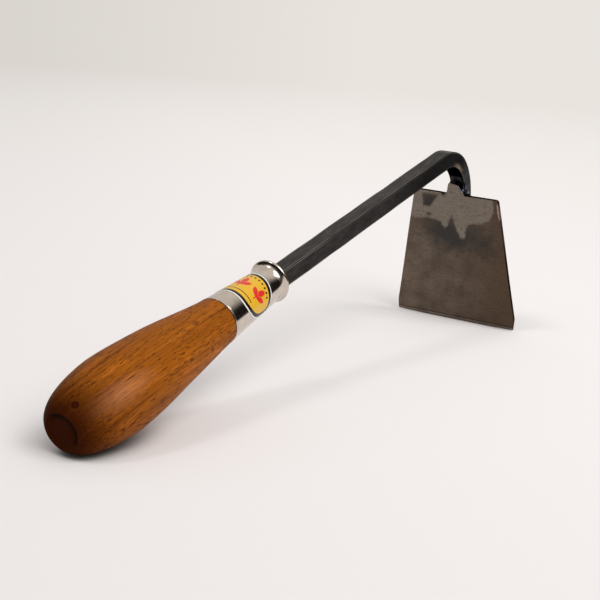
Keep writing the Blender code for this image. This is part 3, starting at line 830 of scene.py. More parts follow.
def make_handle(look):
    """The turned outline, a little high before its middle, and a square hole for the tang: rings at the
    tenon's end and at the hole's bottom, whose radius is half its side times the reach of a square."""
    outline = handle_outline(look)
    steps = 288
    grid = turned(outline, steps)
    bar = look.bar
    bottom = shoulder_at(look) - bar.tang_length - CLEARANCE
    at = np.array((outline[-1, 0], bottom, bottom))[:, None]
    side = np.array((bar.tang_root, bar.tang_tip, bar.tang_tip / 8))[:, None]
    turn = np.linspace(0.0, 2 * math.pi, steps, endpoint=False)
    reach = (side / 2 + CLEARANCE) * square_reach(turn)
    hole = points_of(at, -reach * np.sin(turn), reach * np.cos(turn))
    grid = np.concatenate((grid, hole))
    grid[..., 2] += HIGH_BY * bell(grid[..., 0], HIGH_AT, HIGH_REACH)
    along = grid[..., 0]
    radius = np.hypot(grid[..., 1], grid[..., 2])
    rim = look.handle.butt_radius
    in_dish = (1.0 - smooth_step(radius, 0.90 * rim, 1.02 * rim)) * (along < 2 * MM)
    joint = look.handle.grip_length - look.handle.shoulder
    # Oil darkens the butt, the dish and the wood's edge at the ferrule
    soak = np.maximum(0.95 * np.exp(-((along / SOAK_REACH) ** 1.6)), 0.97 * in_dish)
    soak = np.maximum(soak, 0.9 * smooth_step(along, joint, joint + 0.35 * MM))
    # Painted shade in the dish's upper right corner, under its rim
    upper_right = smooth_step(grid[..., 2] - grid[..., 1], -0.35 * rim, 0.75 * rim)
    corner = 0.95 * in_dish * bell(radius, 0.86 * rim, 1.9 * MM) * upper_right
    marks = {"soak": soak, "dish_shade": corner}
    piece = add_skin("handle_turned", grid, TOOL, oiled_wood(look), marks=marks)
    dress(piece, "handle")


# Two fine beads at the wood and the groove between them: place and half width, counted in the bead's
# width, and a share of its height
LIP = ((0.75, 0.5, 1.0), (2.125, 0.325, -0.8), (2.875, 0.45, 0.45))


def make_ferrule(look):
    """A turned outline: the lip's beads and groove, each a bell curve on the cone's line, then the flare,
    the roll and the way back inside."""
    sizes = look.ferrule
    start = ferrule_start(look)
    throat = throat_at(look)
    front = rim_front(look)
    radius = sizes.roll_radius
    along = np.concatenate((np.linspace(0.0, 2.0 * MM, 90), np.linspace(2.2 * MM, sizes.cone_length, 40)))
    high = cone_radius(look, start + along)
    for middle, half_width, share in LIP:
        high += share * sizes.bead_height * bell(along / sizes.bead_width, middle, half_width)
    cone = np.column_stack((start + along, high))
    edge = bezier((start, high[0] - 0.25 * MM), (start, high[0]), (start, high[0]), cone[4], 6)
    roll_at = (front - radius, sizes.rim_radius - radius)
    roll = arc(roll_at, radius, SQUARE + sizes.flare_angle, -SQUARE, 40)
    pull = (roll[0, 0] - throat) / 2
    lean = np.array((math.cos(sizes.flare_angle), math.sin(sizes.flare_angle)))
    level = 1.1 * pull * np.array((1.0, cone_slope(look)))
    flare = bezier(cone[-1], cone[-1] + level, roll[0] - 0.9 * pull * lean, roll[0], 40)
    inner = (throat, sizes.throat_radius - sizes.wall)
    back = bezier(roll[-1], roll[-1] - (0.5 * pull, 0.0), (throat + pull, inner[1]), inner, 16)
    home = np.linspace(inner, (start, look.handle.neck_radius - sizes.wall), 12)[1:]
    outline = np.vstack((edge[:-1], cone[4:], flare[1:], roll[1:], back[1:], home))
    grid = turned(outline, 240)
    # The rim was spun a little too high
    grid[..., 2] += sizes.rim_rise * smooth_step(grid[..., 0], throat - 2 * MM, front)
    piece = add_skin("ferrule_spun", grid, TOOL, nickel_plate(look), ring=True)
    dress(piece, "ferrule")


def label_outline(look):
    """The flat label's outline as (across, along) from its middle: a straight, two corners and an arc on
    each side."""
    sizes = look.label
    top = sizes.half_width
    small = sizes.arc_corner
    reach = sizes.half_length - small
    rise = math.sqrt((sizes.arc_radius - small) ** 2 - reach**2)
    meet = math.atan2(rise, reach)
    large = sizes.half_length - sizes.straight
    half = [np.linspace((0.0, -top), (sizes.straight, -top), 20)]
    half.append(arc((sizes.straight, large - top), large, -SQUARE, 0.0, 40)[1:])
    half.append(arc((reach, top - sizes.arc_radius + rise), small, 0.0, meet, 18)[1:])
    half.append(arc((0.0, top - sizes.arc_radius), sizes.arc_radius, meet, SQUARE, 40)[1:])
    half = np.vstack(half)
    return np.vstack((half, half[-2:0:-1] * (-1.0, 1.0)))


def make_label(look):
    """Rings of the outline moved inwards by an even step, then drawn together to the middle, and wrapped
    over the cone: across becomes the turn across / radius, and a level line follows the cone's own."""
    sizes = look.label
    outline = label_outline(look)
    ahead = np.roll(outline, -1, axis=0) - np.roll(outline, 1, axis=0)
    ahead /= np.linalg.norm(ahead, axis=1, keepdims=True)
    inward = np.column_stack((-ahead[:, 1], ahead[:, 0]))
    border = sizes.edge_width + sizes.border_width
    steps = (0.0, 0.5 * sizes.edge_width, sizes.edge_width, 0.6 * border, border)
    rings = [outline + step * inward for step in steps]
    shares = np.linspace(1.0, 0.02, 30)[1:]
    rings = np.concatenate((rings, shares[:, None, None] * rings[-1]))
    flat = points_of(rings[..., 0], rings[..., 1], 0.0)
    inset = np.concatenate((steps, border + (1.0 - shares) * sizes.half_width))
    inset = np.repeat(inset[:, None], len(outline), axis=1)
    middle = ferrule_start(look) + look.ferrule.cone_length / 2 + sizes.forward
    at = middle + flat[..., 1] + cone_slope(look) * flat[..., 0] ** 2 / (2 * cone_radius(look, middle))
    turn = flat[..., 0] / cone_radius(look, at)
    layers = []
    for lift in (LABEL_LIFT, LABEL_LIFT + sizes.thickness):
        radius = cone_radius(look, at) + lift
        layers.append(points_of(at, -radius * np.sin(turn), radius * np.cos(turn)))
    grid = np.concatenate((layers[0][::-1], layers[1]))
    marks = {"flat": np.concatenate((flat[::-1], flat)), "inset": np.concatenate((inset[::-1], inset))}
    piece = add_skin("label_sticker", grid, TOOL, printed_paper(look), marks=marks)
    dress(piece, "label")


def bar_sections(side, radius, corner_steps, face_steps):
    """Rounded squares, one row for each side length and corner radius: four corner arcs joined by evenly
    divided flats. Also gives each point's distance from the nearest end of an arc, in the first row."""
    turn = np.linspace(0.0, SQUARE, corner_steps + 1)
    corners = []
    for quarter, (right, up) in enumerate(((1, 1), (-1, 1), (-1, -1), (1, -1))):
        angles = turn + quarter * SQUARE
        inset = (side / 2 - radius)[:, None] * np.array((right, up))
        bent = radius[:, None, None] * np.column_stack((np.cos(angles), np.sin(angles)))
        corners.append(inset[:, None] + bent)
    on_arc = np.minimum(turn, SQUARE - turn) * radius[0]
    share = np.linspace(0.0, 1.0, face_steps + 1)[1:-1]
    on_flat = np.minimum(share, 1.0 - share) * (side[0] - 2 * radius[0])
    parts = []
    for here, there in zip(corners, corners[1:] + corners[:1]):
        step = share[None, :, None]
        parts += [here, here[:, -1:] * (1 - step) + there[:, :1] * step]
    return np.concatenate(parts, axis=1), np.tile(np.concatenate((on_arc, on_flat)), 4)


BAR_END_LENGTH = 0.8 * MM
BAR_END_NARROWING = 1.2 * MM
SCALE_DEPTH = 0.035 * MM  # of the unevenness that forging left


def make_bar(look):
    """The section carried along the bar's middle line: straight, round the bend's arc, then straight. The
    tang is the same section, drawn down. Its faces lie up to a tenth of a millimetre low in places."""
    bar = look.bar
    shoulder = shoulder_at(look)
    bend_at = rim_front(look) + bar.straight
    bend_length = bar.bend_radius * bar.bend_angle
    end_at = bend_at + bend_length + bar.above_blade + bar.lap
    tip_at = shoulder - bar.tang_length
    tang = np.linspace(tip_at, shoulder, 60)
    body = np.linspace(shoulder, end_at, 430)
    run = np.concatenate((tang, body))
    taper = np.linspace(bar.tang_tip, bar.tang_root, len(tang))
    side = np.concatenate((taper, np.full(len(body), bar.side)))
    # The sawn end is rounded over
    last = np.clip((end_at - run) / BAR_END_LENGTH, 0.0, 1.0)
    side -= BAR_END_NARROWING * (1.0 - np.sqrt(1.0 - (1.0 - last) ** 2))
    uneven = waves(points_of(run, 0.0, 0.0), 18 * MM, 3)
    radius = bar.arris * (1.0 + 0.12 * uneven) * np.clip(side / bar.side, 0.5, 1.0)
    section, off_arris = bar_sections(side, radius, corner_steps=8, face_steps=16)
    run = run[:, None]
    across, up = section[..., 0], section[..., 1]
    turn = np.clip((run - bend_at) / bar.bend_radius, 0.0, bar.bend_angle)
    over = np.clip(run - bend_at - bend_length, 0.0, None)
    reach = bar.bend_radius + up
    ahead = np.minimum(run, bend_at) + reach * np.sin(turn) + over * np.cos(turn)
    above = reach * np.cos(turn) - bar.bend_radius - over * np.sin(turn)
    grid = points_of(ahead, across, above)
    outward = points_of(up * np.sin(turn), across, up * np.cos(turn))
    outward /= np.linalg.norm(outward, axis=-1, keepdims=True)
    rough = SCALE_DEPTH * (waves(grid, 20 * MM, 5) - 1.0)
    rough = np.where(run > shoulder + 1 * MM, np.minimum(rough, 0.0), 0.0)
    grid += outward * rough[..., None]
    # The flame marked the inner corner of the bend, and left its inner face glossy black
    share = (run - bend_at) / bend_length
    fused = smooth_step(-up / bar.side, 0.40, 0.49) * smooth_step(share, -0.6, -0.3)
    right_corner = smooth_step(-across / bar.side, 0.30, 0.46)
    torch = right_corner * smooth_step(-up / bar.side, 0.06, 0.36) * bell(share, 0.42, 0.14)
    # Painted shade darkens the sides from the ferrule on, and soot lies thickly near the bend
    top = smooth_step(up / bar.side, 0.42, 0.49)
    near_bend = smooth_step(run - bend_at, -100 * MM, -15 * MM)
    past_ferrule = smooth_step(run - rim_front(look), 5 * MM, 40 * MM)
    soot_and_side_shade = (0.45 * past_ferrule + 0.43 * near_bend) * (1.0 - top) + 0.5 * near_bend * top
    soot_and_side_shade = soot_and_side_shade * (1.0 - 0.55 * smooth_step(share, 0.4, 0.9))
    marks = {"off_arris": np.broadcast_to(off_arris, up.shape), "fused": fused, "soot_and_side_shade": soot_and_side_shade}
    marks["torch"] = 0.85 * torch * (1.0 - fused)
    piece = add_skin("bar_forged", grid, TOOL, forge_black(look), marks=marks)
    dress(piece, "shank")


def blade_half_width(look, down):
    """Half the blade's width at a depth below its top edge: the corner's arc, then the slanting side, then
    the parallel foot."""
    blade = look.blade
    foot = blade.height - blade.side_straight
    lean = math.atan2((blade.bottom - blade.top) / 2, foot)
    middle = blade.top / 2 - blade.corner * math.tan((SQUARE - lean) / 2)
    meet = blade.corner * (1.0 - math.sin(lean))
    touch = middle + blade.corner * math.cos(lean)
    rounded = middle + np.sqrt(np.clip(blade.corner**2 - (blade.corner - down) ** 2, 0.0, None))
    slanted = touch + (blade.bottom / 2 - touch) * (down - meet) / (foot - meet)
    return np.where(down < meet, rounded, np.minimum(slanted, blade.bottom / 2))


# The ground area on the blade's face as (left, down) in millimetres, round from its upper left, with the
# two places inside it that the grinder missed, and a bare nick in the sheet's right edge
GROUND = (
    (36, -7), (34.5, 18.5), (29, 20), (21, 18.6), (15.5, 18.8), (10, 19.8), (8.2, 24), (6, 23), (4.4, 18.4),
    (2.4, 13.6), (0.4, 20), (-1.6, 25), (-4.2, 29.2), (-6.4, 29.2), (-7.6, 27), (-7.9, 22.6), (-9.6, 18.9),
    (-12, 17.9), (-18, 17.3), (-24.4, 13.8), (-27.2, 7.6), (-26.4, -2), (-3, -6.9), (3, -8.2),
)
MISSED = (
    ((24.2, 2.0), (11.8, 1.2), (15.2, 6.2), (18.6, 10.9), (23.6, 10.6)),
    ((20.8, 15.0), (17.8, 15.0), (17.8, 17.2), (20.8, 17.4)),
)
NICK = ((-29.3, 2.0), (-29.7, 7.5), (-31.3, 13.0), (-31.7, 12.5), (-30.9, 7.0), (-30.0, 2.0))
OUTSIDE = -9 * MM  # the mark for ground steel where there is none
UNDERCUT_AT = 8.9 * MM  # left of the middle
UNDERCUT_DEPTH = 0.45 * MM

# Clouds that the weld's heat left: strength, place as left and down, and size each way
CLOUDS = (
    (1.25, 3 * MM, 27 * MM, 21 * MM, 13 * MM),
    (0.5, -23 * MM, 34 * MM, 11 * MM, 13 * MM),
    (1.0, 18 * MM, 7 * MM, 9 * MM, 9 * MM),
)


def inside_by(points, outline):
    """How far points lie inside an outline, and below 0 outside: the distance to the nearest side, with
    its sign from how often a ray to the right crosses the sides."""
    corners = np.array(outline, float)
    nearest = np.full(points.shape[:-1], np.inf)
    crossings = np.zeros(points.shape[:-1], int)
    for here, there in zip(corners, np.roll(corners, -1, axis=0)):
        side = there - here
        share = np.clip(((points - here) @ side) / (side @ side), 0.0, 1.0)
        nearest = np.minimum(nearest, np.linalg.norm(points - here - share[..., None] * side, axis=-1))
        spans = (here[1] > points[..., 1]) != (there[1] > points[..., 1])
        at = here[0] + (points[..., 1] - here[1]) * side[0] / (side[1] or 1e-9)
        crossings += spans & (points[..., 0] < at)
    return np.where(crossings % 2 == 1, nearest, -nearest)


def face_marks(left, down):
    """How far a place on the blade's face is inside the ground area in metres, the strength of the heat's
    cloud, and where the nick is."""
    points = np.stack((left, down), axis=-1) / MM
    ground = inside_by(points, GROUND)
    for missed in MISSED:
        ground = np.minimum(ground, -inside_by(points, missed))
    heat = np.zeros(left.shape)
    for strength, at_left, at_down, wide, tall in CLOUDS:
        heat += strength * bell(left, at_left, wide) * bell(down, at_down, tall)
    nick = 0.7 * smooth_step(inside_by(points, NICK), -0.15, 0.15)
    return {"ground": np.clip(ground * MM, OUTSIDE, -OUTSIDE), "scorch": heat, "nick": nick}


def make_blade(look):
    """Level slices of the sheet from top to bottom. Each is a rounded rectangle whose half width, front and
    back follow the depth below the top edge: the corner's arc and slanting side, and the two bevels."""
    blade = look.blade
    height = blade.height
    edge = blade.edge_break
    near_top = np.array((0.0, 0.15, 0.4, 0.75, 1.2, 2.0)) * edge
    in_corner = np.linspace(0.8 * MM, blade.corner, 8)
    face_rows = np.linspace(2.6 * MM, height - 7.5 * MM, 150)
    near_foot = np.linspace(height - 7 * MM, height - 0.1 * MM, 26)
    down = np.concatenate((near_top, in_corner, face_rows, near_foot, [height]))
    front = blade.face_bevel_depth * np.clip(1 - (height - down) / blade.face_bevel, 0.0, 1.0)
    thin = blade.thickness - blade.face_bevel_depth - blade.edge_land
    back = blade.thickness - thin * np.clip(1 - (height - down) / blade.back_bevel, 0.0, 1.0)
    rise = np.clip(down / edge, 0.0, 1.0)
    ease = edge * (1.0 - np.sqrt(1.0 - (1.0 - rise) ** 2))
    down, front, back, ease = (values[:, None] for values in (down, front + ease, back - ease, ease))
    radius = np.minimum(edge, 0.45 * (back - front))
    flat = blade_half_width(look, down) - ease - radius
    across = np.linspace(-1.0, 1.0, 150)
    turn = np.linspace(0.0, SQUARE, 5)[1:-1]
    parts = []
    for quarter, (deep, side) in enumerate(((-1, 1), (1, 1), (1, -1), (-1, -1))):
        if quarter % 2 == 0:
            parts.append(points_of(front if deep < 0 else back, side * flat * across, -down))
        centre = front + radius if deep < 0 else back - radius
        angles = turn + (quarter + 2) * SQUARE
        beside = side * flat - radius * np.sin(angles)
        parts.append(points_of(centre + radius * np.cos(angles), beside, -down))
    grid = np.concatenate(parts, axis=1)
    left = grid[..., 1]
    # The weld's undercut left of the tongue, and a cutting edge worn up towards its corners
    notch = bell(left, UNDERCUT_AT, 1.2 * MM) * (1.0 - smooth_step(down, 0.0, 4 * MM))
    grid[..., 2] -= UNDERCUT_DEPTH * notch
    worn_up = (2 * np.abs(left) / blade.bottom) ** 2.5
    grid[..., 2] += blade.foot_rise * worn_up * smooth_step(down, 0.5 * height, height)
    # A sheet is never quite flat
    level_place = grid * (0.0, 1.0, 1.0)
    bow = 0.10 * MM * waves(level_place, 38 * MM, 11) + 0.03 * MM * waves(level_place, 9 * MM, 12)
    bow *= smooth_step(down, 0.0, 12 * MM) * (1.0 - smooth_step(down, height - 25 * MM, height - 6 * MM))
    grid[..., 0] += bow
    marks = face_marks(left, -grid[..., 2])
    marks["ground"] = np.where(grid[..., 0] < 0.6 * blade.thickness, marks["ground"], OUTSIDE)
    # Painted shade on the sheet's cut edges and in the weld's undercut
    behind = smooth_step(grid[..., 0] - bow - front, 0.05 * MM, 0.25 * MM)
    cut = behind * smooth_step(back - grid[..., 0], 0.05 * MM, 0.25 * MM)
    undercut = bell(left, UNDERCUT_AT - 0.3 * MM, 1.3 * MM) * bell(grid[..., 2], -0.6 * MM, 1.3 * MM)
    marks["cut"] = np.where(down > 0.0, np.maximum(0.9 * cut, undercut), 0.9)
    marks["nick"] *= 1.0 - cut
    piece = add_skin("blade_sheet", grid, blade_frame(look), rolled_steel(look), marks=marks)
    dress(piece, "blade")


def inner_face(look, up):
    """How deep the bar's inner face lies behind the blade's inner face, at a height above the top edge. It
    is level up to where the bend's arc begins."""
    bar = look.bar
    inside = bar.bend_radius - bar.side / 2
    over = np.clip(up - bar.above_blade, 0.0, 0.9 * inside)
    return look.blade.thickness + CLEARANCE - (inside - np.sqrt(inside**2 - over**2))


def tongue_sides(look, up):
    """Left and right side of the tongue at a height: the left leans in by 1.7 mm and the right by 7.1 mm,
    and both turn in most near the top."""
    share = np.clip(up / look.weld.tongue_height, 0.0, 1.0)
    left = look.weld.tongue_left - 1.3 * MM * share - 0.4 * MM * share**12
    right = -look.weld.tongue_right + 4.9 * MM * share + 2.2 * MM * share**10
    return left, right


def superellipse(turn, power):
    """Sides of a rounded square at a turn: cosine and sine, each drawn towards 1 by a power below 1."""
    cosine, sine = np.cos(turn), np.sin(turn)
    return np.sign(cosine) * np.abs(cosine) ** power, np.sign(sine) * np.abs(sine) ** power


def make_tongue(look):
    """Level slices of the ground tongue, from inside the sheet to its top. Its front is ground flush with
    the blade's face, and its back reaches the bar's inner face."""
    height = look.weld.tongue_height
    up = np.concatenate((np.linspace(-1.4 * MM, 0.0, 8), np.linspace(0.03, 1.0, 50) * height))
    left, right = tongue_sides(look, up)
    back = inner_face(look, up) + 0.1 * MM
    front = 0.35 * MM * (1.0 - smooth_step(up, -1.3 * MM, -0.35 * MM))
    front = front + 0.8 * MM * smooth_step(up / height, 0.86, 1.0) ** 2
    cosine, sine = superellipse(np.linspace(0.0, 2 * math.pi, 120, endpoint=False), 0.28)
    deep = (front + back)[:, None] / 2 + (back - front)[:, None] / 2 * cosine
    across = (left + right)[:, None] / 2 + (left - right)[:, None] / 2 * sine
    grid = points_of(deep, across, up[:, None])
    marks = face_marks(grid[..., 1], -grid[..., 2])
    marks["ground"] = np.where(deep < front[:, None] + 0.8 * MM, marks["ground"], OUTSIDE)
    # Painted shade on the tongue's sides behind its ground front
    marks["cut"] = 0.95 * smooth_step(deep - front[:, None], 0.5 * MM, 1.0 * MM)
    piece = add_skin("weld_tongue", grid, blade_frame(look), rolled_steel(look), marks=marks)
    dress(piece, "weld_front")


def make_puddle(look):
    """Level slices of the weld that was left unground: a skin over the bar's inner face, which thickens to
    a ledge over the tongue, to a thin bead along the tongue's right side, and to a bead round the bar's
    right corner. Each slice is a front line from left to right, then a back line inside the bar."""
    weld = look.weld
    up = np.linspace(-0.8 * MM, weld.puddle_height, 90)[:, None]
    half = look.bar.side / 2 - 0.2 * MM
    along_corner = 1.0 - smooth_step(up, 6.0 * MM, 9.5 * MM)
    share = np.linspace(0.0, 1.0, 100)[None, :]
    across = half * (1 - share) - (half + 0.9 * MM * along_corner) * share
    right = tongue_sides(look, up)[1]
    over = 1.0 - smooth_step(up, weld.tongue_height - 0.6 * MM, weld.tongue_height + 1.9 * MM)
    under = smooth_step(across - right, -0.7 * MM, -0.1 * MM)
    face = inner_face(look, up)
    ledge = over * under * (face - 0.5 * MM)
    at_corner = bell(across, -4.7 * MM, 0.8 * MM)
    bead = 1.4 * MM * at_corner * along_corner * (0.6 + 0.4 * bell(up, 1.6 * MM, 1.5 * MM))
    skin = 0.12 * MM * (1.0 - smooth_step(up, 0.7 * weld.puddle_height, weld.puddle_height))
    edge = np.sqrt(1.0 - np.abs(2 * share - 1) ** 14)
    front = face - (np.maximum(ledge, bead) + skin) * edge + 0.6 * MM * (1.0 - edge)
    back = face + (0.6 + 0.8 * along_corner * smooth_step(-across, half, half + 0.4 * MM)) * MM
    grid = np.concatenate((points_of(front, across, up), points_of(back, across, up)[:, ::-1]), axis=1)
    blued = bell(up, 2.5 * MM, 3 * MM) * at_corner
    # Painted highlight low on the bead at the bar's right corner
    painted_glint = 0.8 * bell(up, 1.7 * MM, 1.3 * MM) * at_corner**3
    unseen = np.zeros(across.shape)
    marks = {"blued": np.hstack((blued, unseen)), "painted_glint": np.hstack((painted_glint, unseen))}
    piece = add_skin("weld_puddle", grid, blade_frame(look), weld_steel(look), marks=marks)
    dress(piece, "weld_front")


def make_back_weld(look):
    """A fillet's profile carried down one side of the bar, round its end and up the other. Its leg swells
    and shrinks with each ripple, and closes in a half round at both ends."""
    weld = look.weld
    half = look.bar.side / 2
    lap = look.bar.lap
    # Each stretch of the weld's root line: its first and last point as (left, up), how far round it faces
    # at each, in quarter turns, and its steps
    stretches = (
        ((half, 0.2 * MM, 0), (half, -lap, 0), 110),
        ((half, -lap, 0), (half, -lap, -1), 14),
        ((half, -lap, -1), (-half, -lap, -1), 44),
        ((-half, -lap, -1), (-half, -lap, -2), 14),
        ((-half, -lap, -2), (-half, 3.0 * MM, -2), 110),
    )
    root = np.concatenate([np.linspace(*stretch) for stretch in stretches])
    at = root[:, :2]
    facing = root[:, 2] * SQUARE
    out = np.column_stack((np.cos(facing), np.sin(facing)))
    mid_line = at + weld.bead_leg / 2 * out
    run = np.concatenate(([0.0], np.cumsum(np.linalg.norm(np.diff(mid_line, axis=0), axis=1))))
    uneven = waves(points_of(run, 0.0, 0.0), 6 * MM, 21)
    leg = weld.bead_leg * (0.93 + 0.035 * np.abs(np.sin(math.pi * run / weld.ripple)) + 0.03 * uneven)
    to_end = np.clip(np.minimum(run, run[-1] - run) / (1.5 * MM), 0.0, 1.0)
    leg *= 0.15 + 0.85 * np.sqrt(1 - (1 - to_end) ** 2)
    bulge = weld.bead_bulge
    profile = np.vstack(
        (
            np.linspace((0.0, 0.0), (1.0, 0.0), 10)[:-1],
            bezier((1.0, 0.0), (0.55 + bulge / 2, 0.35), (0.35, 0.55 + bulge / 2), (0.0, 1.0), 18),
            np.linspace((0.0, 1.0), (0.0, 0.0), 10)[1:-1],
        )
    )
    away = leg[:, None] * profile[:, 0] - 0.1 * MM
    high = leg[:, None] * profile[:, 1] + look.blade.thickness - 0.05 * MM
    place = at[:, None, :] + away[..., None] * out[:, None, :]
    grid = points_of(high, place[..., 0], place[..., 1])
    grid[..., 0] += 0.05 * MM * waves(grid, 2.5 * MM, 22)
    # Painted highlight at the fillet's right end
    painted_glint = 0.5 * bell(run[-1] - run, 1.6 * MM, 1.1 * MM)[:, None]
    marks = {"painted_glint": np.broadcast_to(painted_glint, high.shape)}
    piece = add_skin("weld_fillet", grid, blade_frame(look), weld_steel(look), marks=marks)
    dress(piece, "weld_back")


def around(heading, height, reach):
    """The place at a compass heading and an angle above the floor in degrees, at a distance."""
    heading, height = math.radians(heading), math.radians(height)
    level = math.cos(height) * reach
    return (level * math.cos(heading), level * math.sin(heading), math.sin(height) * reach)


def add_lamp(name, heading, height, share, spread):
    """A far lamp at a compass heading and a height in degrees, which seems as wide as its spread. Its share
    is the part of full brightness that it gives a white floor."""
    lamp = bpy.data.lights.new(name, "SUN")
    lamp.energy = share * math.pi / math.sin(math.radians(height))
    lamp.angle = math.radians(spread)
    holder = bpy.data.objects.new(name, lamp)
    holder.location = around(heading, height, LAMP_REACH)
    holder.rotation_euler = holder.location.to_track_quat("Z", "Y").to_euler()
    bpy.context.scene.collection.objects.link(holder)


def add_sheet(name, grid, finish, marks=None):
    """Makes an open sheet from a grid of points: a quad between each four neighbours."""
    rows, columns = grid.shape[:2]
    index = np.arange(rows * columns).reshape(rows, columns)
    quads = np.stack((index[:-1, :-1], index[1:, :-1], index[1:, 1:], index[:-1, 1:]), axis=-1)
    return add_object(name, grid, quads.reshape(-1, 4).tolist(), finish, marks)


def shows_background(tree):
    """1 for a ray that shows the room: from the camera, a shiny surface or glass. 0 for one that carries
    light."""
    camera = add(tree, "LightPath", {}, out="Is Camera Ray")
    path = camera.node.outputs
    shows = add(tree, "Math", {0: camera, 1: path["Is Glossy Ray"]}, operation="MAXIMUM")
    return add(tree, "Math", {0: shows, 1: path["Is Transmission Ray"]}, operation="MAXIMUM")


def make_floor(look):
    """Matt white seamless paper. Far from the tool it fades into the room's pale background."""
    studio = look.studio
    finish, tree = new_finish("seamless paper, matt")
    place = add(tree, "TexCoord", {}, out="Object")
    # Painted light: the paper is a little paler towards the far right
    across = add(tree, "VectorMath", {0: place, 1: FAR_RIGHT}, out="Value", operation="DOT_PRODUCT")
    paper = shaded(tree, linear(studio.paper)[:3], across, 0.915, 1.045, low=-0.25, high=0.23)
    # Painted shadow: the paper is darkened where the handle nearly touches it, as hardly any light is left
    # there
    open_part = add(tree, "AmbientOcclusion", {"Distance": CONTACT_REACH}, out="AO")
    paper = shaded(tree, paper, open_part, 0.03, 1.0, low=0.05, high=0.52)
    paper = add(tree, "BsdfPrincipled", {"Base Color": paper, "Roughness": 0.9}, out="BSDF")
    far = add(tree, "VectorMath", {0: place}, out="Value", operation="LENGTH")
    far = add(tree, "MapRange", {"Value": far, "From Min": studio.fade_from, "From Max": studio.fade_to})
    far = add(tree, "Math", {0: far, 1: shows_background(tree)}, operation="MULTIPLY")
    clear = add(tree, "BsdfTransparent", {}, out="BSDF")
    add(tree, "OutputMaterial", {"Surface": add(tree, "MixShader", {0: far, 1: paper, 2: clear})})
    side = np.linspace(-FLOOR_REACH, FLOOR_REACH, 9)
    add_sheet("floor", points_of(side[:, None], side[None, :], 0.0), finish)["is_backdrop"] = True


def make_cloth(look, name, headings, low, high, grey, soft, thin):
    """A dark sheet beyond the view that only shiny surfaces see, standing for the room's unlit side as a
    painted dark reflection: an upright sheet bent round part of a circle, between two heights given in
    degrees for each heading. It thins out over the soft part at its top, and where thin is above 0."""
    turn = np.radians(headings)[:, None]
    share = np.linspace(0.0, 1.0, 17)[None, :]
    rise = np.radians(low) * (1 - share) + np.radians(high)[:, None] * share
    grid = CLOTH_REACH * points_of(np.cos(turn), np.sin(turn), np.tan(rise))
    thin = np.maximum(smooth_step(share, 1.0 - soft, 1.0), thin[:, None])
    marks = {"thinned": thin, "grey": np.broadcast_to(grey[:, None], thin.shape)}
    finish, tree = new_finish(name)
    cloth = marked(tree, linear(look.studio.cloth), linear(look.studio.grey_cloth), "grey")
    cloth = add(tree, "BsdfPrincipled", {"Base Color": cloth, "Roughness": 1.0}, out="BSDF")
    thinned = add(tree, "Attribute", {}, out="Fac", attribute_name="thinned")
    clear = add(tree, "BsdfTransparent", {}, out="BSDF")
    add(tree, "OutputMaterial", {"Surface": add(tree, "MixShader", {0: thinned, 1: cloth, 2: clear})})
    sheet = add_sheet(name, grid, finish, marks)
    sheet.visible_camera = False
    sheet.visible_diffuse = False
    sheet.visible_shadow = False
    sheet.visible_transmission = False
    sheet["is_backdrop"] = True


def make_camera(look):
    """The camera, turned by its heading, its dip and its roll."""
    studio = look.studio
    lens = bpy.data.cameras.new("camera")
    lens.lens = studio.lens
    lens.sensor_width = 36.0
    lens.clip_start = 0.01
    camera = bpy.data.objects.new("camera", lens)
    forward = Vector((math.cos(studio.heading), math.sin(studio.heading), 0.0)) * math.cos(studio.dip)
    forward.z = -math.sin(studio.dip)
    side = Vector((math.sin(studio.heading), -math.cos(studio.heading), 0.0))
    upward = side.cross(forward)
    right = math.cos(studio.roll) * side + math.sin(studio.roll) * upward
    upward = math.cos(studio.roll) * upward - math.sin(studio.roll) * side
    turn = Matrix((right, upward, -forward)).transposed()
    camera.matrix_world = Matrix.Translation(studio.camera_at) @ turn.to_4x4()
    bpy.context.scene.collection.objects.link(camera)
    bpy.context.scene.camera = camera


def make_room(look):
    """The pale room all round: light for the tool, and a background for the camera and shiny surfaces."""
    studio = look.studio
    world = bpy.data.worlds.new("pale room")
    world.use_nodes = True
    tree = world.node_tree
    tree.nodes.clear()
    ray = add(tree, "TexCoord", {}, out="Generated")
    # The room is darker near the floor
    up = add(tree, "SeparateXYZ", {0: ray}, out="Z")
    air = shaded(tree, linear(studio.air)[:3], up, 0.3, 1.0, low=0.0, high=0.5)
    # Its far end is a little darker on the left
    right = (math.sin(studio.heading), -math.cos(studio.heading), 0.0)
    across = add(tree, "VectorMath", {0: ray, 1: right}, out="Value", operation="DOT_PRODUCT")
    far = shaded(tree, linear(studio.far_paper)[:3], across, 0.86, 1.0, low=-0.2, high=0.03)
    air = {"Factor": shows_background(tree), "A": air, "B": far}
    air = add(tree, "Background", {"Color": add(tree, "Mix", air, data_type="RGBA")})
    add(tree, "OutputWorld", {"Surface": air})
    bpy.context.scene.world = world


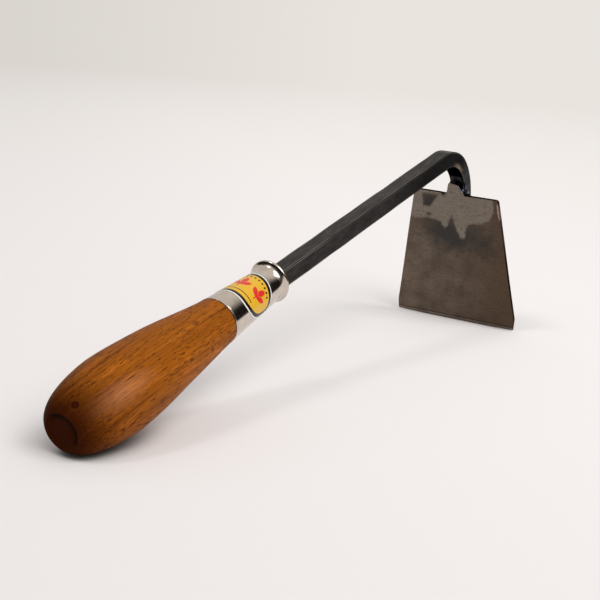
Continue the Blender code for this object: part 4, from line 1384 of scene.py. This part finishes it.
def make_studio(look):
    """Floor, camera, two dark cloths, the pale room and three lamps."""
    make_floor(look)
    make_camera(look)
    # The unlit side of the room, lower to the right of the view than behind it, and a dark corner
    headings = np.linspace(5.0, -190.0, 80)
    high = 58.0 - 18.0 * smooth_step(-headings, 50.0, 80.0) + 14.0 * smooth_step(-headings, 116.0, 134.0)
    grey = smooth_step(-headings, 60.0, 80.0) * (1.0 - smooth_step(-headings, 110.0, 130.0))
    thin = smooth_step(headings, -28.0, 5.0)
    make_cloth(look, "dark_side", headings, low=0.8, high=high, grey=grey, soft=0.5, thin=thin)
    headings = np.linspace(104.0, 186.0, 34)
    high = 26.0 + 17.0 * smooth_step(headings, 106.0, 122.0)
    none = np.zeros(len(headings))
    make_cloth(look, "dark_corner", headings, low=8.0, high=high, grey=none, soft=0.2, thin=none)
    make_room(look)
    studio = look.studio
    add_lamp("left_lamp", heading=152.0, height=54.0, share=studio.left_lamp, spread=13.0)
    add_lamp("front_lamp", heading=-118.0, height=45.0, share=studio.front_lamp, spread=42.0)
    add_lamp("right_lamp", heading=-80.0, height=54.0, share=studio.right_lamp, spread=20.0)
    bpy.context.scene.view_settings.view_transform = "Standard"


class HOE_OT_handle(Operator):
    """Makes the turned wooden handle"""

    bl_idname = "hoe.handle"
    bl_label = "Handle"

    def execute(self, context):
        make_handle(context.scene.hoe)
        return {"FINISHED"}


class HOE_OT_ferrule(Operator):
    """Makes the plated ferrule with its rolled rim"""

    bl_idname = "hoe.ferrule"
    bl_label = "Ferrule"

    def execute(self, context):
        make_ferrule(context.scene.hoe)
        return {"FINISHED"}


class HOE_OT_label(Operator):
    """Makes the printed label on the ferrule"""

    bl_idname = "hoe.label"
    bl_label = "Label"

    def execute(self, context):
        make_label(context.scene.hoe)
        return {"FINISHED"}


class HOE_OT_bar(Operator):
    """Makes the square bar with its tang and its bend"""

    bl_idname = "hoe.bar"
    bl_label = "Bar"

    def execute(self, context):
        make_bar(context.scene.hoe)
        return {"FINISHED"}


class HOE_OT_blade(Operator):
    """Makes the blade"""

    bl_idname = "hoe.blade"
    bl_label = "Blade"

    def execute(self, context):
        make_blade(context.scene.hoe)
        return {"FINISHED"}


class HOE_OT_welds(Operator):
    """Makes the ground tongue and the puddle in front, and the fillet weld behind"""

    bl_idname = "hoe.welds"
    bl_label = "Welds"

    def execute(self, context):
        make_tongue(context.scene.hoe)
        make_puddle(context.scene.hoe)
        make_back_weld(context.scene.hoe)
        return {"FINISHED"}


class HOE_OT_studio(Operator):
    """Makes the floor, the lamps, the pale room and the camera"""

    bl_idname = "hoe.studio"
    bl_label = "Studio"

    def execute(self, context):
        make_studio(context.scene.hoe)
        return {"FINISHED"}


OPERATORS = (
    HOE_OT_handle,
    HOE_OT_ferrule,
    HOE_OT_label,
    HOE_OT_bar,
    HOE_OT_blade,
    HOE_OT_welds,
    HOE_OT_studio,
)


class HOE_PT_pieces(Panel):
    """Lists the hoe's pieces and its studio"""

    bl_idname = "HOE_PT_pieces"
    bl_label = "Hand hoe"
    bl_space_type = "VIEW_3D"
    bl_region_type = "UI"
    bl_category = "Hand hoe"

    def draw(self, context):
        for operator in OPERATORS:
            self.layout.operator(operator.bl_idname)


GROUPS = (HandleLook, FerruleLook, LabelLook, BarLook, BladeLook, WeldLook, StudioLook, HoeLook)


def register():
    for made in (*GROUPS, *OPERATORS, HOE_PT_pieces):
        bpy.utils.register_class(made)
    bpy.types.Scene.hoe = PointerProperty(type=HoeLook)


def unregister():
    del bpy.types.Scene.hoe
    for made in reversed((*GROUPS, *OPERATORS, HOE_PT_pieces)):
        bpy.utils.unregister_class(made)


def main():
    register()
    for operator in OPERATORS:
        group, name = operator.bl_idname.split(".")
        getattr(getattr(bpy.ops, group), name)()
    boxes = {"cad": CAD_BOX, "visual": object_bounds()}
    sizes = {name: [list(corner) for corner in box] for name, box in boxes.items()}


if __name__ == "__main__":
    main()
